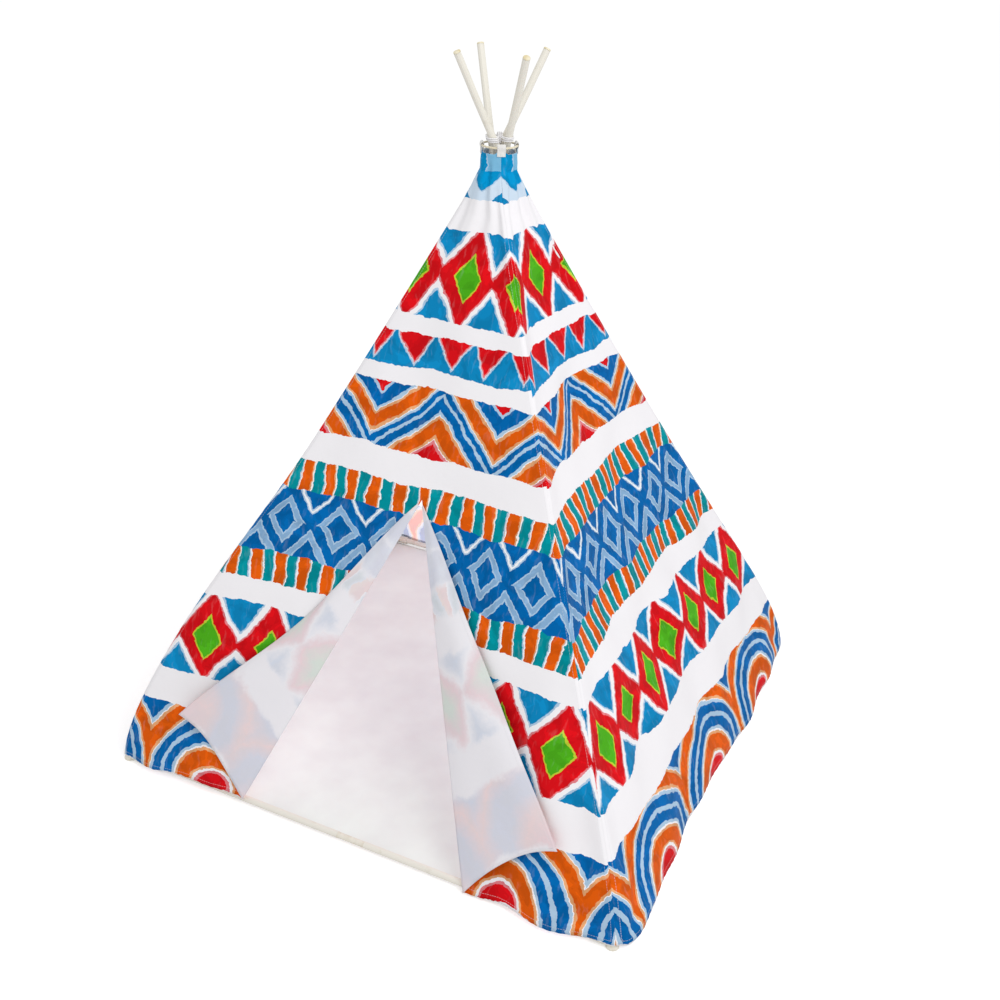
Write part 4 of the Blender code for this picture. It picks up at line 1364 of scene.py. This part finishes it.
@dataclass
class Neck:
    """The ring, its four tape tabs and the lashing round the poles."""

    tab_width: float = 0.014
    tab_wall: float = 0.0010
    tab_leg: float = 0.014
    tab_rise: float = 0.0030
    tab_ease: float = 0.0003
    cord_radius: float = 0.0013
    cord_turns: int = 3
    # rise from one half turn to the next, in cord radii, and within a half turn, as a share of that
    cord_pitch: float = 2.06
    cord_climb: float = 0.12
    cord_sides: int = 16
    strand_lay: float = 9.0 * MM
    squeeze: float = 0.44
    sweep: float = math.radians(111.0)
    frap_turns: float = 2.4
    frap_width: float = 0.0058
    frap_pitch: float = 0.0029
    frap_gap: float = 0.0004
    frap_start: float = 0.35
    tail: float = 0.011
    tail_rise: float = 0.004
    tail_fall: float = 0.005
    strands: int = 3
    strand_depth: float = 0.20
    # points on a sweep round a pair, a crossing to the other, the last turns, the tail and the whole route
    sweep_points: int = 45
    bridge_points: int = 12
    frap_points: int = 120
    tail_points: int = 14
    route_points: int = 1600
    route_easings: int = 14
    cord_rings: int = 1500

    def ring(self) -> None:
        """A torus of wire: centre circle of the ring's radius, section of the wire's radius."""
        rings, sides = 144, 20
        a, b = circle(rings)[:, None], circle(sides)[None, :]
        out = FORM.ring_radius + FORM.wire_radius * np.cos(b)
        height = np.broadcast_to(FORM.ring_height + FORM.wire_radius * np.sin(b), (rings, sides))
        points = np.stack([out * np.cos(a), out * np.sin(a), height], axis=-1)
        points = np.vstack([points.reshape(-1, 3), points[0]])
        points, faces, _ = weld(points, grid_faces(rings + 1, sides, around=True))
        make_piece("neck_ring", points, faces[:, ::-1], {}, [RING_COAT], "tent", "top_ring")

    def tab(self, corner: str) -> None:
        """Tape carried over the ring: up one side, a half circle round the wire, down the other.

        Args:
            corner: name of the corner.
        """
        legs, arc, rows, columns = 14, 22, 90, 13
        bow = self.tab_width ** 2 / (8 * FORM.ring_radius)
        clear = FORM.wire_radius + FORM.slip + bow / 2 + self.tab_wall / 2
        out = FORM.cover_wall / 2 + FORM.slip + self.tab_wall / 2
        inn = -FORM.cover_wall / 2 - FORM.slip - bow - self.tab_wall / 2 - self.tab_ease
        over = np.linspace(0.0, math.pi, arc)
        rise = np.linspace(-self.tab_leg, -clear * 1.6, legs)
        x = np.concatenate([np.full(legs, out), clear * np.cos(over) - bow / 2, np.full(legs, inn)])
        z = np.concatenate([rise, (clear + self.tab_rise) * np.sin(over), rise[::-1]])
        keys = np.linspace(0, len(x) - 1, rows)
        line = relaxed(np.column_stack([np.interp(keys, np.arange(len(x)), values) for values in (x, z)]), 3)
        wide = np.linspace(-0.5, 0.5, columns) * self.tab_width
        away, across = np.meshgrid(line[:, 0], wide, indexing="ij")
        length, height = (
            np.repeat(values[:, None], columns, axis=1) for values in (length_along(line), line[:, 1]))
        sx, sy = FORM.corner_point(corner, np.array([FORM.cover_top]))[0]
        angle = math.atan2(sy, sx) + NECK_TURN + across / FORM.ring_radius
        away = FORM.ring_radius + away
        points = np.stack([away * np.cos(angle), away * np.sin(angle), FORM.ring_height + height], axis=-1)
        cloth = np.stack([across, length], axis=-1).reshape(-1, 2)
        faces = grid_faces(len(line), columns)[:, ::-1]
        piece = make_piece(f"tab_{corner}", points.reshape(-1, 3), faces, {"cloth": cloth}, [TAPE], "tent",
                           f"ring_tab_{corner}")
        thicken(piece, self.tab_wall, offset=0.0, inner=0)

    def hull_point(self, pair: tuple[str, str], angle: float, height: float) -> Array:
        """Place on a cord drawn tight round two poles: the least of their support lines.

        Args:
            pair: the poles' corners.
            angle: direction from the pair's middle.
            height: height above the ground.

        Returns:
            The point.
        """
        _, lean = FORM.reach_and_lean
        centres = np.array([FORM.pole_point(corner, height)[:2] for corner in pair])
        middle = centres.mean(axis=0)
        padding = FORM.tube_radius * math.hypot(1.0, lean) + self.cord_radius + FORM.slip
        turns = np.linspace(angle - math.pi / 2, angle + math.pi / 2, 91)[1:-1]
        normals = np.column_stack([np.cos(turns), np.sin(turns)])
        support = (normals @ (centres - middle).T).max(axis=1) + padding
        reach = float((support / np.cos(turns - angle)).min())
        return np.array([middle[0] + reach * math.cos(angle), middle[1] + reach * math.sin(angle), height])

    def route(self) -> Array:
        """The lashing's centre line: eights round the two pairs of poles, then turns round their crossing.

        Each half of an eight sweeps round the outside of one pair and crosses straight to the other,
        one cord higher. The last turns are ellipses round all the crossings.

        Returns:
            Rows of coordinates.
        """
        pairs = (("front_right", "back_right"), ("back_left", "front_left"))
        low = FORM.ring_height + FORM.wire_radius + FORM.slip + self.cord_radius
        step = self.cord_pitch * self.cord_radius
        middle = low + step * self.cord_turns
        climb = self.cord_climb * step
        ways = []
        for pair in pairs:
            x, y = np.mean([FORM.pole_point(corner, middle)[:2] for corner in pair], axis=0)
            ways.append(math.atan2(y, x))
        halves = 2 * self.cord_turns
        levels = [middle + (low + step * (half + 0.5) - middle) * (1 - self.squeeze)
                  for half in range(halves)]
        points = []
        for half, level in enumerate(levels):
            side = half % 2
            spin = 1 if side == 0 else -1
            for share in np.linspace(-1, 1, self.sweep_points):
                angle = ways[side] + spin * share * self.sweep
                points.append(self.hull_point(pairs[side], angle, level + climb * share))
            if half < halves - 1:
                here, height = points[-1], low + step * (half + 1.0)
                angle = ways[1 - side] + spin * self.sweep
                there = self.hull_point(pairs[1 - side], angle, levels[half + 1] - climb)
                for share in np.linspace(0, 1, self.bridge_points)[1:-1]:
                    spot = here + (there - here) * share
                    spot[2] += (height - (here[2] + there[2]) / 2) * math.sin(math.pi * share)
                    points.append(spot)
        along = np.array([math.cos(ways[1]), math.sin(ways[1])])
        aside = np.array([along[1], -along[0]])
        tall = step * self.cord_turns + 0.5 * step + self.frap_gap
        for turn in np.linspace(0.0, self.frap_turns, self.frap_points):
            angle = math.tau * turn + self.frap_start
            level = aside * self.frap_width * math.cos(angle)
            level = level - along * self.frap_pitch * (turn - self.frap_turns / 2)
            points.append(np.array([*level, middle + tall * math.sin(angle)]))
        end = points[-1]
        for share in np.linspace(0.0, 1.0, self.tail_points)[1:]:
            drop = self.tail_rise * math.sin(math.pi * share) - self.tail_fall * share ** 2
            points.append(np.array([*(end[:2] + aside * self.tail * share), end[2] + drop]))
        path = np.array(points)
        marks = np.linspace(0.0, length_along(path)[-1], self.route_points)
        return relaxed(sampled(path, marks), self.route_easings)

    def lashing(self) -> None:
        """Three strands twisted together: the section's radius swells three times round and turns along."""
        path = self.route()
        marks = np.linspace(0, length_along(path)[-1], self.cord_rings)
        angle = circle(self.cord_sides)[None, :]
        lay = math.tau * marks[:, None] / self.strand_lay
        swell = np.abs(np.cos(self.strands / 2 * (angle - lay)))
        radius = self.cord_radius * (1 - self.strand_depth + self.strand_depth * swell)
        ends = np.sqrt(np.clip(np.minimum(marks, marks[-1] - marks) / self.cord_radius, 0.0, 1.0))[:, None]
        points = tube_points(sampled(path, marks), radius * np.maximum(ends, 0.02), self.cord_sides)
        faces = grid_faces(len(marks), self.cord_sides, around=True)
        cloth = grid_corners(np.linspace(0, math.tau * self.cord_radius, self.cord_sides + 1), marks)
        make_piece("neck_lashing", points, faces, {"cloth": cloth}, [CORD],
                   "tent", "lashing_cord")
        log.info("lashing is %.3f m long", marks[-1])

    def build(self) -> None:
        """Make the ring, the tabs and the lashing."""
        self.ring()
        for corner in CORNERS:
            self.tab(corner)
        self.lashing()


@dataclass
class Fittings:
    """CAD nodes that stay as they are and only get their finish."""

    def dress(self) -> None:
        """Give each tube, coupling, cap and connector its finish."""
        for name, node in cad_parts.items():
            if name.startswith("pole_cap"):
                finish = CAP
            elif "coupling" in name or name.startswith("corner_connector"):
                finish = FITTING
            elif name.startswith(("pole_lower", "pole_middle", "pole_upper", "base_bar")):
                finish = TUBE_COAT
            else:
                continue
            node.data.materials.clear()
            node.data.materials.append(finish.material())


@dataclass
class Studio:
    """Plain pale floor, soft light and the camera."""

    azimuth: float = 25.108
    elevation: float = 27.056
    roll: float = 2.434
    distance: float = 2.3475
    focal_pixels: float = 1260.24
    picture_pixels: float = 1000.0
    target: tuple[float, float, float] = (0.0718, -0.0897, 0.5333)
    world_level: float = 0.74
    key_power: float = 38.0
    key_size: float = 2.2
    key_place: tuple[float, float, float] = (2.16, -1.35, 3.05)
    key_aim: tuple[float, float, float] = (0.0, 0.0, 0.5)
    floor_reach: float = 30.0
    floor_lift: float = 0.36

    def camera(self) -> None:
        """Look at the target from the photograph's place, with its roll and focal length."""
        az, el, roll = (math.radians(a) for a in (self.azimuth, self.elevation, self.roll))
        back = Vector((math.sin(az) * math.cos(el), -math.cos(az) * math.cos(el), math.sin(el)))
        right = (-back).cross(Vector((0, 0, 1))).normalized()
        up = right.cross(-back)
        across = right * math.cos(roll) + up * math.sin(roll)
        upright = up * math.cos(roll) - right * math.sin(roll)
        camera = put("camera", bpy.data.cameras.new("camera"))
        camera.data.lens = self.focal_pixels / self.picture_pixels * camera.data.sensor_width
        camera.matrix_world = Matrix((across, upright, back)).transposed().to_4x4()
        camera.location = Vector(self.target) + back * self.distance
        bpy.context.scene.camera = camera

    def light(self) -> None:
        """An even white world and one broad lamp from the upper right."""
        world = bpy.data.worlds.new("studio")
        bpy.context.scene.world = world
        world.use_nodes = True
        tree = world.node_tree
        even = tree.nodes["Background"]
        feed(tree, even, {"Color": linear("#ffffff"), "Strength": self.world_level})
        seen = add_node(tree, "Background", {"Color": linear("#ffffff"), "Strength": 1.0})
        rays = add_node(tree, "LightPath").outputs
        shows = add_node(tree, "Math", {0: rays["Is Camera Ray"], 1: rays["Is Glossy Ray"]},
                         operation="MAXIMUM")
        mixed = add_node(tree, "MixShader", {0: shows, 1: even, 2: seen})
        feed(tree, tree.nodes["World Output"], {"Surface": mixed})
        lamp = bpy.data.lights.new("key", "AREA")
        lamp.shape, lamp.size, lamp.energy = "DISK", self.key_size, self.key_power
        key = put("key", lamp)
        spot = Vector(self.key_place)
        key.matrix_world = (spot - Vector(self.key_aim)).to_track_quat("Z", "Y").to_matrix().to_4x4()
        key.location = spot

    def floor(self) -> None:
        """A wide pale floor: diffuse, and lifted to white where the camera sees it."""
        mesh = bpy.data.meshes.new("studio_floor")
        corners = [(x * self.floor_reach, y * self.floor_reach, 0)
                   for x, y in ((-1, -1), (1, -1), (1, 1), (-1, 1))]
        mesh.from_pydata(corners, [], [(0, 1, 2, 3)])
        made = bpy.data.materials.new("studio_floor")
        made.use_nodes = True
        tree = made.node_tree
        tree.nodes.remove(tree.nodes["Principled BSDF"])
        matt = add_node(tree, "BsdfDiffuse", {"Color": linear("#f2f2f2")})
        lift = add_node(tree, "Emission", {"Color": linear("#ffffff"), "Strength": self.floor_lift})
        none = add_node(tree, "Emission", {"Strength": 0.0})
        seen = add_node(tree, "LightPath").outputs["Is Camera Ray"]
        extra = add_node(tree, "MixShader", {0: seen, 1: none, 2: lift})
        surface = add_node(tree, "AddShader", {0: matt, 1: extra})
        feed(tree, tree.nodes["Material Output"], {"Surface": surface})
        mesh.materials.append(made)
        put("studio_floor", mesh)

    def build(self) -> None:
        """Set up the floor, the light, the camera and the plain view transform."""
        bpy.context.scene.view_settings.view_transform = "Standard"
        self.floor()
        self.light()
        self.camera()


def declare_sheets() -> None:
    """Work out the slants of the cover and of the doorway and the width of a side; they are not used.
    """
    slant, door_slant = FORM.slant(np.array([FORM.cover_top, FORM.door_top])).tolist()
    side = 2 * FORM.reach_and_lean[0]


def main() -> None:
    """Build the studio and every sub-assembly."""
    logging.basicConfig(level=logging.INFO, format="%(name)s: %(message)s")
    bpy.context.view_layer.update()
    Studio().build()
    panels = Cover().build()
    flaps = DoorFlaps().build()
    floor = FloorSheet().build()
    sleeves = Poles().build()
    Neck().build()
    Fittings().dress()
    declare_sheets()


if __name__ == "__main__":
    main()
